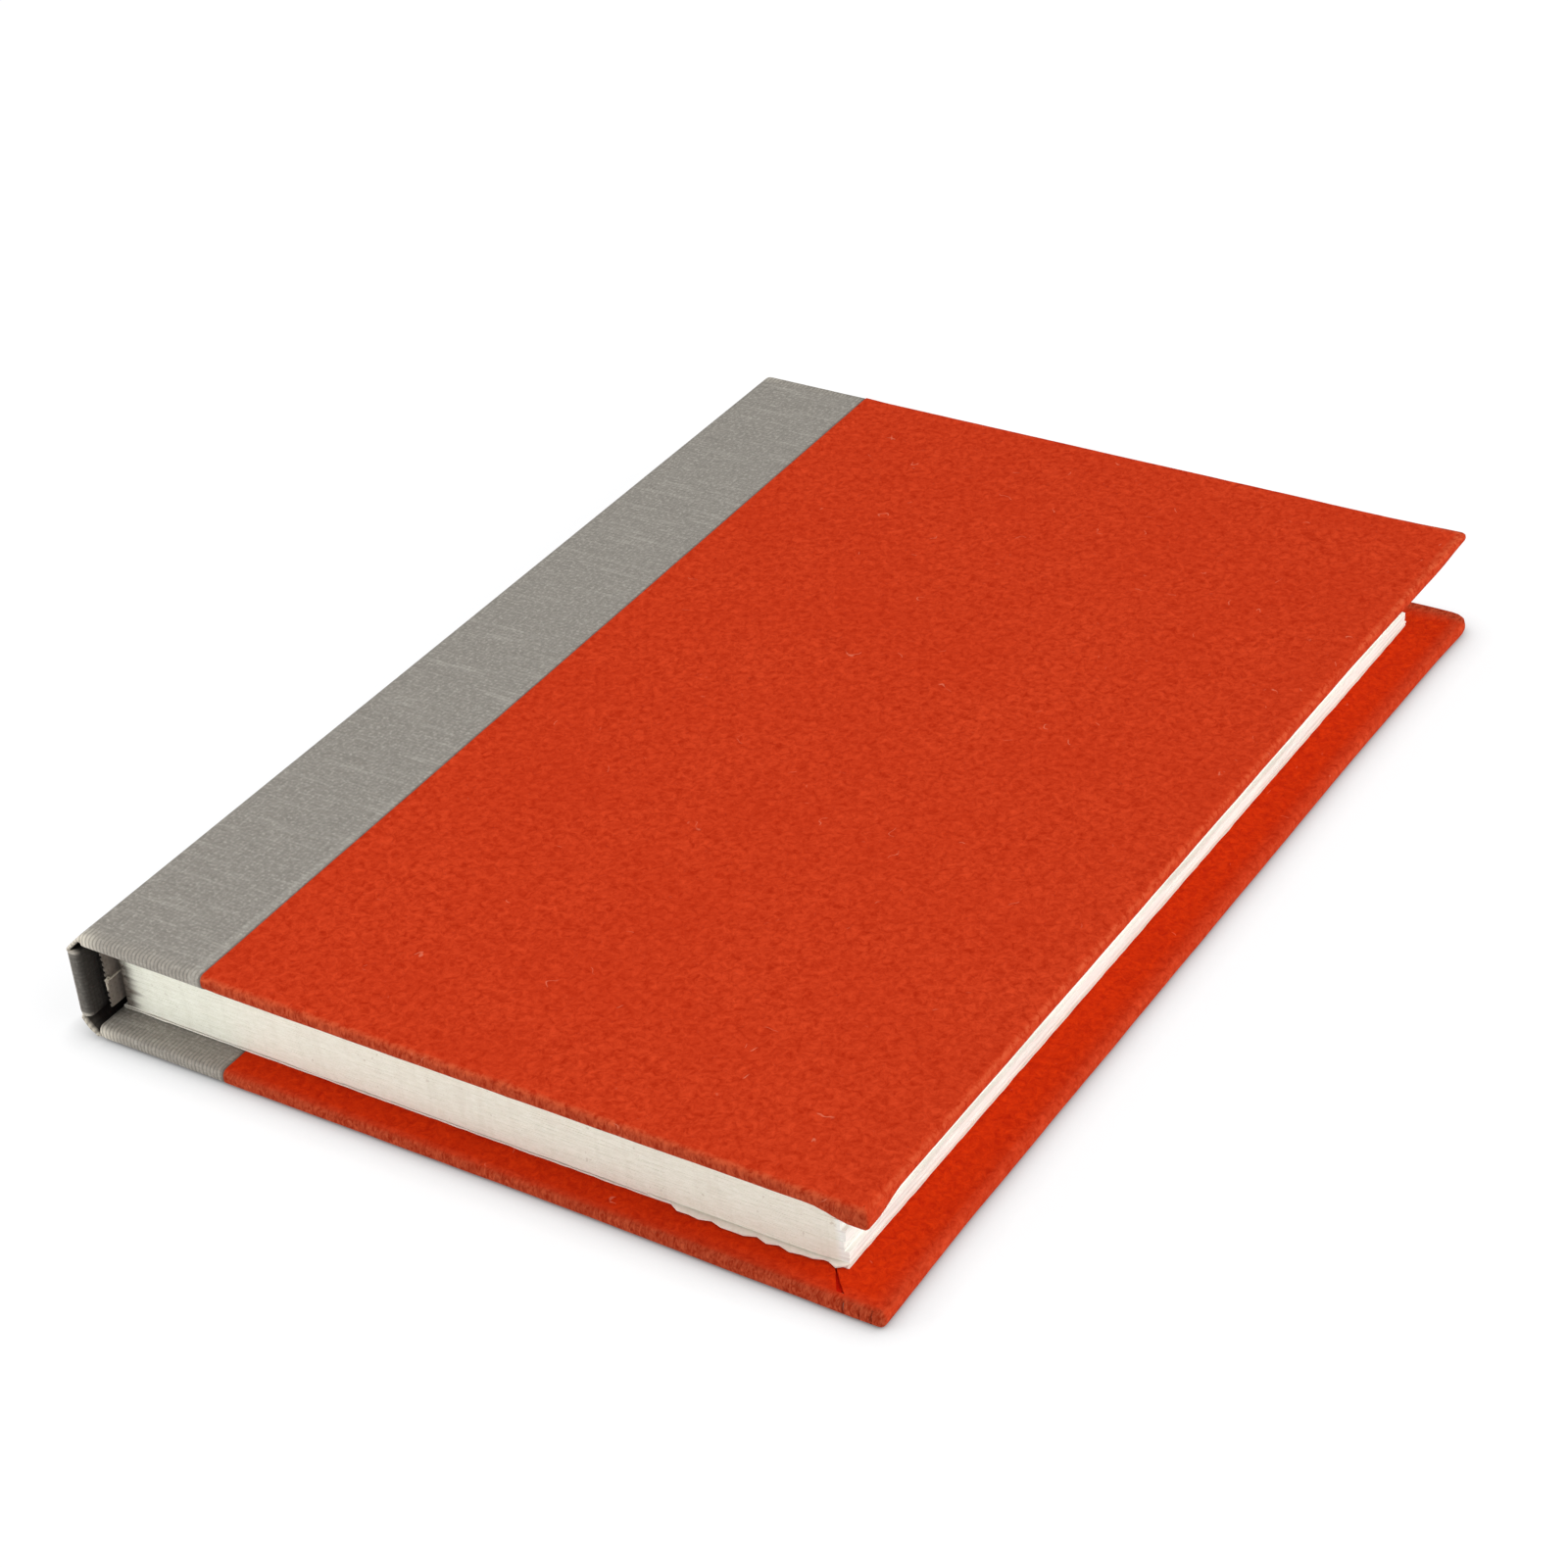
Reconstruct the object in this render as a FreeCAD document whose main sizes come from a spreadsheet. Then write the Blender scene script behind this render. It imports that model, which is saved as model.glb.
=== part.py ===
import FreeCAD, Part
import Sketcher
import os

# A handmade notebook: sewn sections of handmade paper in a quarter-bound case with a flat, hollow back.
# The leaves set the size of the book, and the case is made to fit round them.
# The case is drawn with X from the spine's outer face to the fore edge, Y from tail to head with zero
# halfway up, and Z up from the face that the book lies on. Each sub-part's Placement then moves it so
# that the origin is the bottom centre of the whole book.

LEAVES = [
    ("leaf_width", 105.0),
    ("leaf_height", 148.0),
    ("section_count", 7),
    ("section_thickness", 1.515),
    ("fold_depth", 0.7),             # how far a section's fold swells past its neighbours' valleys
    ("fore_edge_step", 0.25),        # how far one section's leaves stop short of the next one's
    ("endpaper", 0.25),
    ("fold_gap", 0.1),               # between a folded endpaper's two leaves
    ("hinge_strip", 1.6),            # endpaper left unglued beside the fold
    ("press_gap", 0.2),              # endpaper's pressed step to the turn-ins
]
SEWING = [
    ("station_count", 5),            # sewing stations along the folds
    ("station_inset", 12.0),         # first station from the leaves' end
    ("kerf_width", 1.2),             # sawn notch across the folds at each station
    ("kerf_depth", 1.1),
    ("thread_radius", 0.15),         # waxed thread, six-sided where it is this small
    ("strand_gap", 0.04),            # between the two strands that share a fold's hole
    ("stitch_rise", 0.35),           # middle of a link stitch above the kerf's floor
    ("lining", 0.4),
    ("lining_setback", 0.6),         # lining to the block's upper and lower faces
    ("lining_overhang", 2.2),        # lining past the leaves at head and tail
]
CASE = [
    ("end_square", 4.5),             # covers past the leaves at head and tail
    ("front_square", 6.0),           # front cover past the leaves at the fore edge
    ("back_square_tail", 7.0),       # the back board was cut a little out of square
    ("back_square_head", 6.3),
    ("board_thickness", 1.5),
    ("board_edge_round", 0.5),       # board edges softened before covering
    ("cover_corner", 1.2),           # plan radius of a covered corner
    ("worn_corner", 2.0),            # the back cover's bumped corner at the head
    ("spine_strip", 1.5),            # stiffener in the spine
    ("hollow", 1.0),                 # free space between the spine and the lining
]
COVERING = [
    ("side_paper", 0.35),            # felted paper on the sides
    ("book_cloth", 0.25),
    ("joint_gap", 2.95),             # from board to spine strip, along and down: a joint at 45 degrees
    ("joint_bend", 1.0),             # outer radius of the cloth at each bend of the joint
    ("front_seam_tail", 22.1),       # edge of the side paper over the cloth, cut by hand
    ("front_seam_head", 20.3),
    ("back_seam_tail", 22.7),
    ("back_seam_head", 21.5),
    ("cloth_reach", 24.5),           # how far the cloth goes under the side paper
    ("turn_in", 13.0),               # cloth and paper folded over the boards' inner faces
    ("mitre_start", 5.0),            # corner to where the mitre cut meets the board's edge
    ("mitre_slit", 0.3),
]

# Steps that each section's leaves stop short of the longest leaf, from the back of the book.
FORE_EDGE_STEPS = (0, 2, 1, 3, 1, 0, 2)

doc = FreeCAD.newDocument("notebook")
sheet = doc.addObject("Spreadsheet::Sheet", "Sizes")
for row, (alias, number) in enumerate(LEAVES + SEWING + CASE + COVERING, start=1):
    sheet.set(f"A{row}", alias)
    sheet.set(f"B{row}", str(number))
    sheet.setAlias(f"B{row}", alias)
doc.recompute()

# Sizes that several pieces share, worked out from the sheet.
# Up from the face that the book lies on:
COVER = "(Sizes.board_thickness + 2 * Sizes.side_paper)"
BOARD_TOP = "(Sizes.board_thickness + Sizes.side_paper)"
CLOTH_LOW = "(Sizes.side_paper - Sizes.book_cloth)"
CLOTH_TURNED = f"({BOARD_TOP} + Sizes.book_cloth)"
BLOCK_START = f"({COVER} + 2 * Sizes.endpaper + Sizes.fold_gap)"
CASE_THICKNESS = f"(2 * {BLOCK_START} + Sizes.section_count * Sizes.section_thickness)"
CLOTH_TURNED_FRONT = f"({CASE_THICKNESS} - {CLOTH_TURNED})"
# From the spine's outer face:
BOARD_START = "(Sizes.book_cloth + Sizes.joint_gap)"
STRIP_INNER = "(Sizes.book_cloth + Sizes.spine_strip)"
CLOTH_INNER = f"({STRIP_INNER} + Sizes.book_cloth)"
FOLD = f"({CLOTH_INNER} + Sizes.hollow + Sizes.lining)"
KERF_FLOOR = f"({FOLD} + Sizes.kerf_depth)"
FORE_EDGE = f"({FOLD} + Sizes.leaf_width)"
FRONT_EDGE = f"({FORE_EDGE} + Sizes.front_square)"
BACK_EDGE_TAIL = f"({FORE_EDGE} + Sizes.back_square_tail)"
BACK_EDGE_HEAD = f"({FORE_EDGE} + Sizes.back_square_head)"
CENTRE = f"(max({FRONT_EDGE}; {BACK_EDGE_TAIL}; {BACK_EDGE_HEAD}) / 2)"
# From halfway up the book towards head or tail:
LEAF_END = "(Sizes.leaf_height / 2)"
CASE_END = f"({LEAF_END} + Sizes.end_square)"
BOARD_END = f"({CASE_END} - Sizes.side_paper)"
CLOTH_END = f"({BOARD_END} + Sizes.book_cloth)"
WINDOW_END = f"({CASE_END} - Sizes.turn_in)"
FIRST_STATION = f"(Sizes.station_inset - {LEAF_END})"
STATION_PITCH = f"(-2 * {FIRST_STATION} / (Sizes.station_count - 1))"
# The spine strip's lower edge, at the foot of the joint's slope:
STRIP_START = "(Sizes.side_paper + Sizes.joint_gap)"
# Rounding on the outside of each covering material where it wraps a board's edge:
CLOTH_ROUND = "(Sizes.board_edge_round + Sizes.book_cloth)"
PAPER_ROUND = "(Sizes.board_edge_round + Sizes.side_paper)"

PAST = 1.0  # how far a cut runs past what it cuts
NEAR = 0.01  # how closely an edge lies on the plane that it is looked for on


def value(expression):
    """A size in millimetres, worked out from the sheet."""
    return float(sheet.evalExpression(expression))


def from_top(height):
    """The same height measured down from the book's upper face."""
    return f"({CASE_THICKNESS} - {height})"


def mirror_up(corners):
    """The same corners at the front cover's height, in the order that keeps the outline going round."""
    return [(across, from_top(up)) for across, up in reversed(corners)]


def rectangle(left, right, low, high):
    return [(left, low), (right, low), (right, high), (left, high)]


def new_body(name, turned_over=False):
    """A body placed in the book's frame. The front cover's pieces are turned over from face down."""
    body = doc.addObject("PartDesign::Body", name)
    body.Label = name
    if turned_over:
        half_turn = FreeCAD.Rotation(FreeCAD.Vector(1, 0, 0), 180)
        body.Placement = FreeCAD.Placement(FreeCAD.Vector(), half_turn)
        body.setExpression("Placement.Base.z", CASE_THICKNESS)
    body.setExpression("Placement.Base.x", f"-{CENTRE}")
    return body


def origin_feature(body, role):
    """One of the body's own origin planes or axes."""
    return next(feature for feature in body.Origin.OriginFeatures if feature.Role == role)


def new_sketch(body, name, role, height="0", up="0"):
    """A sketch on an origin plane, raised along its normal and, if asked, moved up within the plane."""
    sketch = body.newObject("Sketcher::SketchObject", name)
    sketch.AttachmentSupport = (origin_feature(body, role), [""])
    sketch.MapMode = "FlatFace"
    sketch.setExpression("AttachmentOffset.Base.z", height)
    sketch.setExpression("AttachmentOffset.Base.y", up)
    return sketch


def fix_point(sketch, geometry, end, across, up):
    """Holds one end of a line or arc at two expressions, measured from the sketch's origin."""
    for kind, expression in (("DistanceX", across), ("DistanceY", up)):
        number = sketch.addConstraint(Sketcher.Constraint(kind, -1, 1, geometry, end, value(expression)))
        sketch.setExpression(f"Constraints[{number}]", expression)


def draw_run(sketch, corners, closed=False):
    """Straight lines end to end through corners given as pairs of expressions."""
    points = [FreeCAD.Vector(value(across), value(up), 0) for across, up in corners]
    ends = points[1:] + points[:1] if closed else points[1:]
    for start, finish in zip(points, ends):
        sketch.addGeometry(Part.LineSegment(start, finish))
    count = len(ends)
    for index in range(count if closed else count - 1):
        sketch.addConstraint(Sketcher.Constraint("Coincident", index, 2, (index + 1) % count, 1))
    for index in range(count):
        fix_point(sketch, index, 1, *corners[index])
    if not closed:
        fix_point(sketch, count - 1, 2, *corners[count])


def draw_outline(sketch, corners):
    draw_run(sketch, corners, closed=True)


def add_pad(body, sketch, length, both_ways=False, reverse=False):
    pad = body.newObject("PartDesign::Pad", sketch.Name + "_pad")
    pad.Profile = sketch
    pad.setExpression("Length", length)
    if both_ways:
        pad.SideType = "Symmetric"
    pad.Reversed = reverse
    doc.recompute()
    return pad


def add_pocket(body, sketch, length=None, reverse=False):
    """A pocket that must take something away. With no length it runs right through from tail to head."""
    before = body.Shape.Volume
    pocket = body.newObject("PartDesign::Pocket", sketch.Name + "_cut")
    pocket.Profile = sketch
    pocket.setExpression("Length", length or f"2 * ({CASE_END} + {PAST})")
    if length is None:
        pocket.SideType = "Symmetric"
    pocket.Reversed = reverse
    doc.recompute()
    if not body.Shape.Volume < before:
        raise RuntimeError(f"{pocket.Name} cut nothing")
    return pocket


def add_round(body, base, edges, radius):
    """A fillet on the base feature's numbered edges."""
    fillet = body.newObject("PartDesign::Fillet", f"{body.Name}_round{len(body.Group)}")
    fillet.Base = (base, [f"Edge{number}" for number in edges])
    fillet.setExpression("Radius", radius)
    doc.recompute()
    return fillet


def add_pattern(body, original, directions):
    """Repeats a feature along one or two of the body's axes, each given with its pitch and its count."""
    pattern = body.newObject("PartDesign::LinearPattern", f"{original.Name}_pattern")
    pattern.Originals = [original]
    for (role, pitch, count), suffix in zip(directions, ("", "2")):
        setattr(pattern, "Direction" + suffix, (origin_feature(body, role), [""]))
        pattern.setExpression("Length" + suffix, f"{pitch} * ({count} - 1)")
        pattern.setExpression("Occurrences" + suffix, count)
    body.Tip = pattern
    doc.recompute()
    return pattern


def cut_away(piece, tools, name):
    """The piece less each tool in turn, as a covering material that fits round what it covers."""
    result = piece
    for tool in tools:
        cut = doc.addObject("Part::Cut", f"{name}_less_{tool.Name}")
        cut.Base = result
        cut.Tool = tool
        result = cut
    result.Label = name
    doc.recompute()
    return result


def edges_near(shape, places):
    """The number of the edge whose middle is nearest to each place."""
    numbers = []
    for place in places:
        gaps = [(edge.CenterOfMass - place).Length for edge in shape.Edges]
        numbers.append(gaps.index(min(gaps)) + 1)
    return numbers


def edges_where(shape, chosen):
    """The number of each edge whose bounding box passes the test."""
    return [number for number, edge in enumerate(shape.Edges, start=1) if chosen(edge.BoundBox)]


def slab_outline(spine_sides, fore_edges, end):
    """Plan outline of a flat piece of a cover, from its low end to its high end."""
    low_spine, high_spine = spine_sides
    low_fore, high_fore = fore_edges
    return [(low_spine, f"-{end}"), (low_fore, f"-{end}"), (high_fore, end), (high_spine, end)]


def round_slab(body, pad, fore_edges, end, corner_radii, spine_side, edge_round):
    """Rounds a flat piece's two fore corners in plan, then the rim of both faces except on the spine side."""
    last = pad
    for place, side, radius in zip(fore_edges, (-1, 1), corner_radii):
        corner = FreeCAD.Vector(value(place), side * value(end), value(COVER) / 2)
        last = add_round(body, last, edges_near(last.Shape, [corner]), radius)
    beyond = spine_side + PAST
    rim = edges_where(last.Shape, lambda box: box.ZLength < NEAR and box.XMax > beyond)
    add_round(body, last, rim, edge_round)


class Cover:
    """What tells one cover from the other. Pairs run from its low end to its high end as it is drawn,
    lying on its outer face."""

    def __init__(self, name, turned_over, fore_edges, seams, corners):
        self.name = name
        self.turned_over = turned_over
        self.fore_edges = fore_edges
        self.seams = seams
        self.corners = corners


FRONT = Cover(
    "front",
    True,
    (FRONT_EDGE, FRONT_EDGE),
    ("Sizes.front_seam_head", "Sizes.front_seam_tail"),
    ("Sizes.cover_corner", "Sizes.cover_corner"),
)
BACK = Cover(
    "back",
    False,
    (BACK_EDGE_TAIL, BACK_EDGE_HEAD),
    ("Sizes.back_seam_tail", "Sizes.back_seam_head"),
    ("Sizes.cover_corner", "Sizes.worn_corner"),
)


def make_board(cover):
    """Greyboard inside a cover, from the joint to the fore edge, with softened edges."""
    body = new_body(f"{cover.name}_board", cover.turned_over)
    fore_edges = [f"({edge} - Sizes.side_paper)" for edge in cover.fore_edges]
    radii = [f"({corner} - Sizes.side_paper)" for corner in cover.corners]
    sketch = new_sketch(body, f"{cover.name}_board_outline", "XY_Plane", "Sizes.side_paper")
    draw_outline(sketch, slab_outline((BOARD_START, BOARD_START), fore_edges, BOARD_END))
    pad = add_pad(body, sketch, "Sizes.board_thickness")
    round_slab(body, pad, fore_edges, BOARD_END, radii, value(BOARD_START), "Sizes.board_edge_round")
    return body


def make_spine_strip():
    """The stiffener that keeps the back flat."""
    body = new_body("spine_board")
    sketch = new_sketch(body, "spine_board_section", "XZ_Plane")
    draw_outline(sketch, rectangle("Sizes.book_cloth", STRIP_INNER, STRIP_START, from_top(STRIP_START)))
    pad = add_pad(body, sketch, f"2 * {BOARD_END}", both_ways=True)
    ends = [
        FreeCAD.Vector(value(face), side * value(BOARD_END), value(CASE_THICKNESS) / 2)
        for face in ("Sizes.book_cloth", STRIP_INNER)
        for side in (-1, 1)
    ]
    add_round(body, pad, edges_near(pad.Shape, ends), "Sizes.board_edge_round")
    return body


def wrap_spine(body):
    """Cloth as a thick block round the spine and both joints, bent where it meets boards and strip."""
    shift = "(Sizes.book_cloth * tan(45 / 2))"
    lower = [
        ("Sizes.cloth_reach", CLOTH_LOW),
        (f"({BOARD_START} - {shift})", CLOTH_LOW),
        ("0", f"({STRIP_START} - {shift})"),
    ]
    upper = mirror_up(lower)
    sketch = new_sketch(body, "cloth_outside", "XZ_Plane")
    draw_outline(sketch, lower + upper)
    pad = add_pad(body, sketch, f"2 * {CLOTH_END}", both_ways=True)
    bends = [FreeCAD.Vector(value(across), 0, value(up)) for across, up in lower[1:] + upper[:-1]]
    add_round(body, pad, edges_near(pad.Shape, bends), "Sizes.joint_bend")


def open_cloth(body):
    """Takes out the room for the book block, and rounds the folds over the boards' and strip's ends."""
    room = new_sketch(body, "cloth_inside", "XZ_Plane")
    beyond = f"(Sizes.cloth_reach + {PAST})"
    draw_outline(room, rectangle(CLOTH_INNER, beyond, CLOTH_TURNED, CLOTH_TURNED_FRONT))
    opened = add_pocket(body, room)

    def on_outer_fold(box):
        at_end = box.YLength < NEAR and abs(abs(box.YMin) - value(CLOTH_END)) < NEAR
        before_room = box.XMin < value(CLOTH_INNER) - NEAR
        below_room = box.ZMin < value(CLOTH_TURNED) - NEAR
        above_room = box.ZMax > value(CLOTH_TURNED_FRONT) + NEAR
        raw_edge = box.XMin > value("Sizes.cloth_reach") - NEAR
        return at_end and (before_room or below_room or above_room) and not raw_edge

    add_round(body, opened, edges_where(opened.Shape, on_outer_fold), CLOTH_ROUND)


def press_joints(body):
    """In each joint the turned-in cloth is rubbed down on to the outer cloth, and its folds are rounded."""
    wall = f"({BOARD_START} - Sizes.book_cloth)"
    step = f"({STRIP_START} - Sizes.book_cloth)"
    doubled = f"({BOARD_START} + Sizes.side_paper + Sizes.book_cloth / cos(45))"
    channel = [(wall, f"({doubled} - {wall})"), (wall, step), (f"({doubled} - {step})", step)]
    for side, corners in (("back", channel), ("front", mirror_up(channel))):
        groove = new_sketch(body, f"cloth_joint_{side}", "XZ_Plane")
        draw_outline(groove, corners)
        pressed = add_pocket(body, groove)

    over_board = (value(wall) + value("Sizes.cloth_reach")) / 2
    folds = []
    for end in (-value(CLOTH_END), value(CLOTH_END)):
        folds.append(FreeCAD.Vector(over_board, end, value(CLOTH_TURNED)))
        folds.append(FreeCAD.Vector(over_board, end, value(CLOTH_TURNED_FRONT)))
        folds.append(FreeCAD.Vector(value(CLOTH_INNER), end, value(CASE_THICKNESS) / 2))
    add_round(body, pressed, edges_near(pressed.Shape, folds), CLOTH_ROUND)


def make_cloth(covered):
    """One piece of book cloth round the spine, folded in at head and tail over the boards and the strip."""
    body = new_body("spine_cloth_wrap")
    wrap_spine(body)
    open_cloth(body)
    press_joints(body)

    # Between the turn-ins only the outer layer is there.
    inside = [
        (f"(Sizes.cloth_reach + {PAST})", "Sizes.side_paper"),
        (BOARD_START, "Sizes.side_paper"),
        ("Sizes.book_cloth", STRIP_START),
    ]
    between = new_sketch(body, "cloth_single_layer", "XZ_Plane")
    draw_outline(between, inside + mirror_up(inside))
    cleared = add_pocket(body, between)
    cleared.setExpression("Length", f"2 * {WINDOW_END}")
    return cut_away(body, covered, "spine_cloth")


def cut_mitre(body, fore_edge, side, name):
    """The fore-edge turn-in is cut at 45 degrees and lies over the turn-in at this end."""
    start = f"({fore_edge} - Sizes.mitre_start - {PAPER_ROUND})"
    finish = f"({fore_edge} - Sizes.turn_in)"
    run = "(Sizes.turn_in - Sizes.mitre_start)"
    rim = f"{side} * ({CASE_END} - {PAPER_ROUND})"
    window = f"{side} * ({CASE_END} - {run})"
    slit = new_sketch(body, name, "XY_Plane", COVER)
    draw_outline(
        slit,
        [
            (start, rim),
            (f"({start} + Sizes.mitre_slit)", rim),
            (f"({finish} + Sizes.mitre_slit)", window),
            (finish, window),
        ],
    )
    add_pocket(body, slit, "Sizes.side_paper")


def make_side_paper(cover, board, cloth):
    """Side paper over the board and the cloth's edge, turned in on three sides, with mitred corners."""
    body = new_body(f"{cover.name}_paper_wrap", cover.turned_over)
    sketch = new_sketch(body, f"{cover.name}_paper_outline", "XY_Plane")
    draw_outline(sketch, slab_outline(cover.seams, cover.fore_edges, CASE_END))
    pad = add_pad(body, sketch, COVER)
    seam = max(value(place) for place in cover.seams)
    round_slab(body, pad, cover.fore_edges, CASE_END, cover.corners, seam, PAPER_ROUND)

    window = new_sketch(body, f"{cover.name}_paper_window", "XY_Plane", COVER)
    window_edges = [f"({edge} - Sizes.turn_in)" for edge in cover.fore_edges]
    draw_outline(window, slab_outline(("0", "0"), window_edges, WINDOW_END))
    add_pocket(body, window, "Sizes.side_paper")
    for fore_edge, side, end_name in zip(cover.fore_edges, ("-1", "1"), ("low", "high")):
        cut_mitre(body, fore_edge, side, f"{cover.name}_mitre_{end_name}")
    return cut_away(body, [board, cloth], f"{cover.name}_cover_paper")


def make_endpaper(cover):
    """One folded sheet: a flyleaf against the sections and a pastedown pressed into the board's window."""
    body = new_body(f"{cover.name}_endpaper", cover.turned_over)
    sketch = new_sketch(body, f"{cover.name}_endpaper_folded", "XZ_Plane")
    draw_outline(sketch, rectangle(FOLD, FORE_EDGE, COVER, BLOCK_START))
    pad = add_pad(body, sketch, "Sizes.leaf_height", both_ways=True)
    fold_edges = [FreeCAD.Vector(value(FOLD), 0, value(level)) for level in (COVER, BLOCK_START)]
    add_round(body, pad, edges_near(pad.Shape, fold_edges), "Sizes.endpaper")

    gap = new_sketch(body, f"{cover.name}_endpaper_gap", "XZ_Plane")
    gap_start = f"({FOLD} + Sizes.endpaper)"
    gap_low = f"({COVER} + Sizes.endpaper)"
    gap_high = f"({gap_low} + Sizes.fold_gap)"
    draw_outline(gap, rectangle(gap_start, f"({FORE_EDGE} + {PAST})", gap_low, gap_high))
    add_pocket(body, gap)

    # The pastedown fills the window between the turn-ins, down to the bare board.
    end = f"({WINDOW_END} - Sizes.press_gap)"
    start = f"({FOLD} + Sizes.hinge_strip)"
    fore_edges = [f"({edge} - Sizes.turn_in - Sizes.press_gap)" for edge in cover.fore_edges]
    pressed = new_sketch(body, f"{cover.name}_endpaper_pressed", "XY_Plane", COVER)
    draw_outline(pressed, slab_outline((start, start), fore_edges, end))
    add_pad(body, pressed, "Sizes.side_paper", reverse=True)

    sunk = new_sketch(body, f"{cover.name}_endpaper_sunk", "XY_Plane", gap_low)
    sunk_start = f"({start} + Sizes.endpaper)"
    sunk_edges = [f"({edge} - Sizes.endpaper)" for edge in fore_edges]
    draw_outline(sunk, slab_outline((sunk_start, sunk_start), sunk_edges, f"({end} - Sizes.endpaper)"))
    add_pocket(body, sunk, "Sizes.side_paper")
    return body


def draw_section(sketch):
    """One section end on: three straight sides, and a swollen fold whose radius follows from its depth."""
    valley = f"({FOLD} + Sizes.fold_depth)"
    top = f"({BLOCK_START} + Sizes.section_thickness)"
    corners = rectangle(valley, FORE_EDGE, BLOCK_START, top)
    draw_run(sketch, corners)
    low = FreeCAD.Vector(value(valley), value(BLOCK_START), 0)
    high = FreeCAD.Vector(value(valley), value(top), 0)
    crown = FreeCAD.Vector(value(FOLD), (low.y + high.y) / 2, 0)
    fold = sketch.addGeometry(Part.Arc(high, crown, low))
    sketch.addConstraint(Sketcher.Constraint("Coincident", fold, 1, fold - 1, 2))
    sketch.addConstraint(Sketcher.Constraint("Coincident", fold, 2, 0, 1))
    curve = "((Sizes.section_thickness / 2)^2 + Sizes.fold_depth^2) / (2 * Sizes.fold_depth)"
    number = sketch.addConstraint(Sketcher.Constraint("Radius", fold, value(curve)))
    sketch.setExpression(f"Constraints[{number}]", curve)


def make_text_block():
    """Sewn sections: each swells at its fold, and their leaves end a little apart at the fore edge."""
    body = new_body("text_block")
    sketch = new_sketch(body, "section_profile", "XZ_Plane")
    draw_section(sketch)
    section = add_pad(body, sketch, "Sizes.leaf_height", both_ways=True)
    add_pattern(body, section, [("Z_Axis", "Sizes.section_thickness", "Sizes.section_count")])

    for index in range(int(value("Sizes.section_count"))):
        steps = FORE_EDGE_STEPS[index % len(FORE_EDGE_STEPS)]
        if steps:
            low = f"({BLOCK_START} + {index} * Sizes.section_thickness)"
            high = f"({low} + Sizes.section_thickness)"
            inner = f"({FORE_EDGE} - {steps} * Sizes.fore_edge_step)"
            short = new_sketch(body, f"section_{index}_short", "XZ_Plane")
            draw_outline(short, rectangle(inner, f"({FORE_EDGE} + {PAST})", low, high))
            add_pocket(body, short)

    kerf = new_sketch(body, "sewing_kerf", "XY_Plane")
    low = f"({FIRST_STATION} - Sizes.kerf_width / 2)"
    high = f"({FIRST_STATION} + Sizes.kerf_width / 2)"
    draw_outline(kerf, rectangle(f"({FOLD} - {PAST})", KERF_FLOOR, low, high))
    sawn = add_pocket(body, kerf, CASE_THICKNESS, reverse=True)
    add_pattern(body, sawn, [("Y_Axis", STATION_PITCH, "Sizes.station_count")])
    return body


def make_thread():
    """Link stitches: at each station the thread leaves one section's fold and enters the next one's."""
    body = new_body("sewing_thread")
    body.AllowCompound = True
    link = f"({BLOCK_START} + Sizes.section_thickness)"
    reach = "(Sizes.section_thickness / 2 - Sizes.thread_radius - Sizes.strand_gap / 2)"
    strand = new_sketch(body, "thread_section", "YZ_Plane", KERF_FLOOR, link)
    six_sides = [
        (
            f"({FIRST_STATION} + Sizes.thread_radius * cos({turn}))",
            f"({reach} + Sizes.thread_radius * sin({turn}))",
        )
        for turn in range(0, 360, 60)
    ]
    draw_outline(strand, six_sides)

    path = new_sketch(body, "stitch_path", "XZ_Plane", f"-{FIRST_STATION}", link)
    stand_off = f"({KERF_FLOOR} - Sizes.stitch_rise)"
    stops = [(KERF_FLOOR, reach), (stand_off, reach), (stand_off, f"-{reach}"), (KERF_FLOOR, f"-{reach}")]
    draw_run(path, stops)

    stitch = body.newObject("PartDesign::AdditivePipe", "link_stitch")
    stitch.Profile = strand
    stitch.Spine = path
    stitch.Transition = "Right corner"
    doc.recompute()
    up_the_folds = ("Z_Axis", "Sizes.section_thickness", "Sizes.section_count - 1")
    along_the_back = ("Y_Axis", STATION_PITCH, "Sizes.station_count")
    add_pattern(body, stitch, [up_the_folds, along_the_back])
    return body


def make_lining():
    """A strip of cloth glued over the folds, a little longer than the leaves."""
    body = new_body("spine_lining")
    low = f"({BLOCK_START} + Sizes.lining_setback)"
    sketch = new_sketch(body, "lining_section", "XZ_Plane")
    draw_outline(sketch, rectangle(f"({FOLD} - Sizes.lining)", FOLD, low, from_top(low)))
    add_pad(body, sketch, "Sizes.leaf_height + 2 * Sizes.lining_overhang", both_ways=True)
    return body


front_board = make_board(FRONT)
back_board = make_board(BACK)
spine_board = make_spine_strip()
spine_cloth = make_cloth([front_board, back_board, spine_board])
subparts = [
    front_board,
    back_board,
    spine_board,
    spine_cloth,
    make_side_paper(FRONT, front_board, spine_cloth),
    make_side_paper(BACK, back_board, spine_cloth),
    make_endpaper(FRONT),
    make_endpaper(BACK),
    make_text_block(),
    make_thread(),
    make_lining(),
]
doc.recompute()

for item in doc.Objects:
    if "Invalid" in item.State or "Error" in item.State:
        raise RuntimeError(f"{item.Name} failed: {item.State}")
for piece in subparts:
    if piece.Shape.isNull() or not piece.Shape.isValid():
        raise RuntimeError(f"{piece.Label} has no valid shape")

os.makedirs("parts", exist_ok=True)
for piece in subparts:
    piece.Shape.exportStep(f"parts/{piece.Label}.step")
    print(f"{piece.Label}: {len(piece.Shape.Solids)} solids, {piece.Shape.Volume:.1f} mm3")
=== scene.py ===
import math
from collections import namedtuple

import bmesh
import bpy
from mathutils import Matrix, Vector, noise


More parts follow.
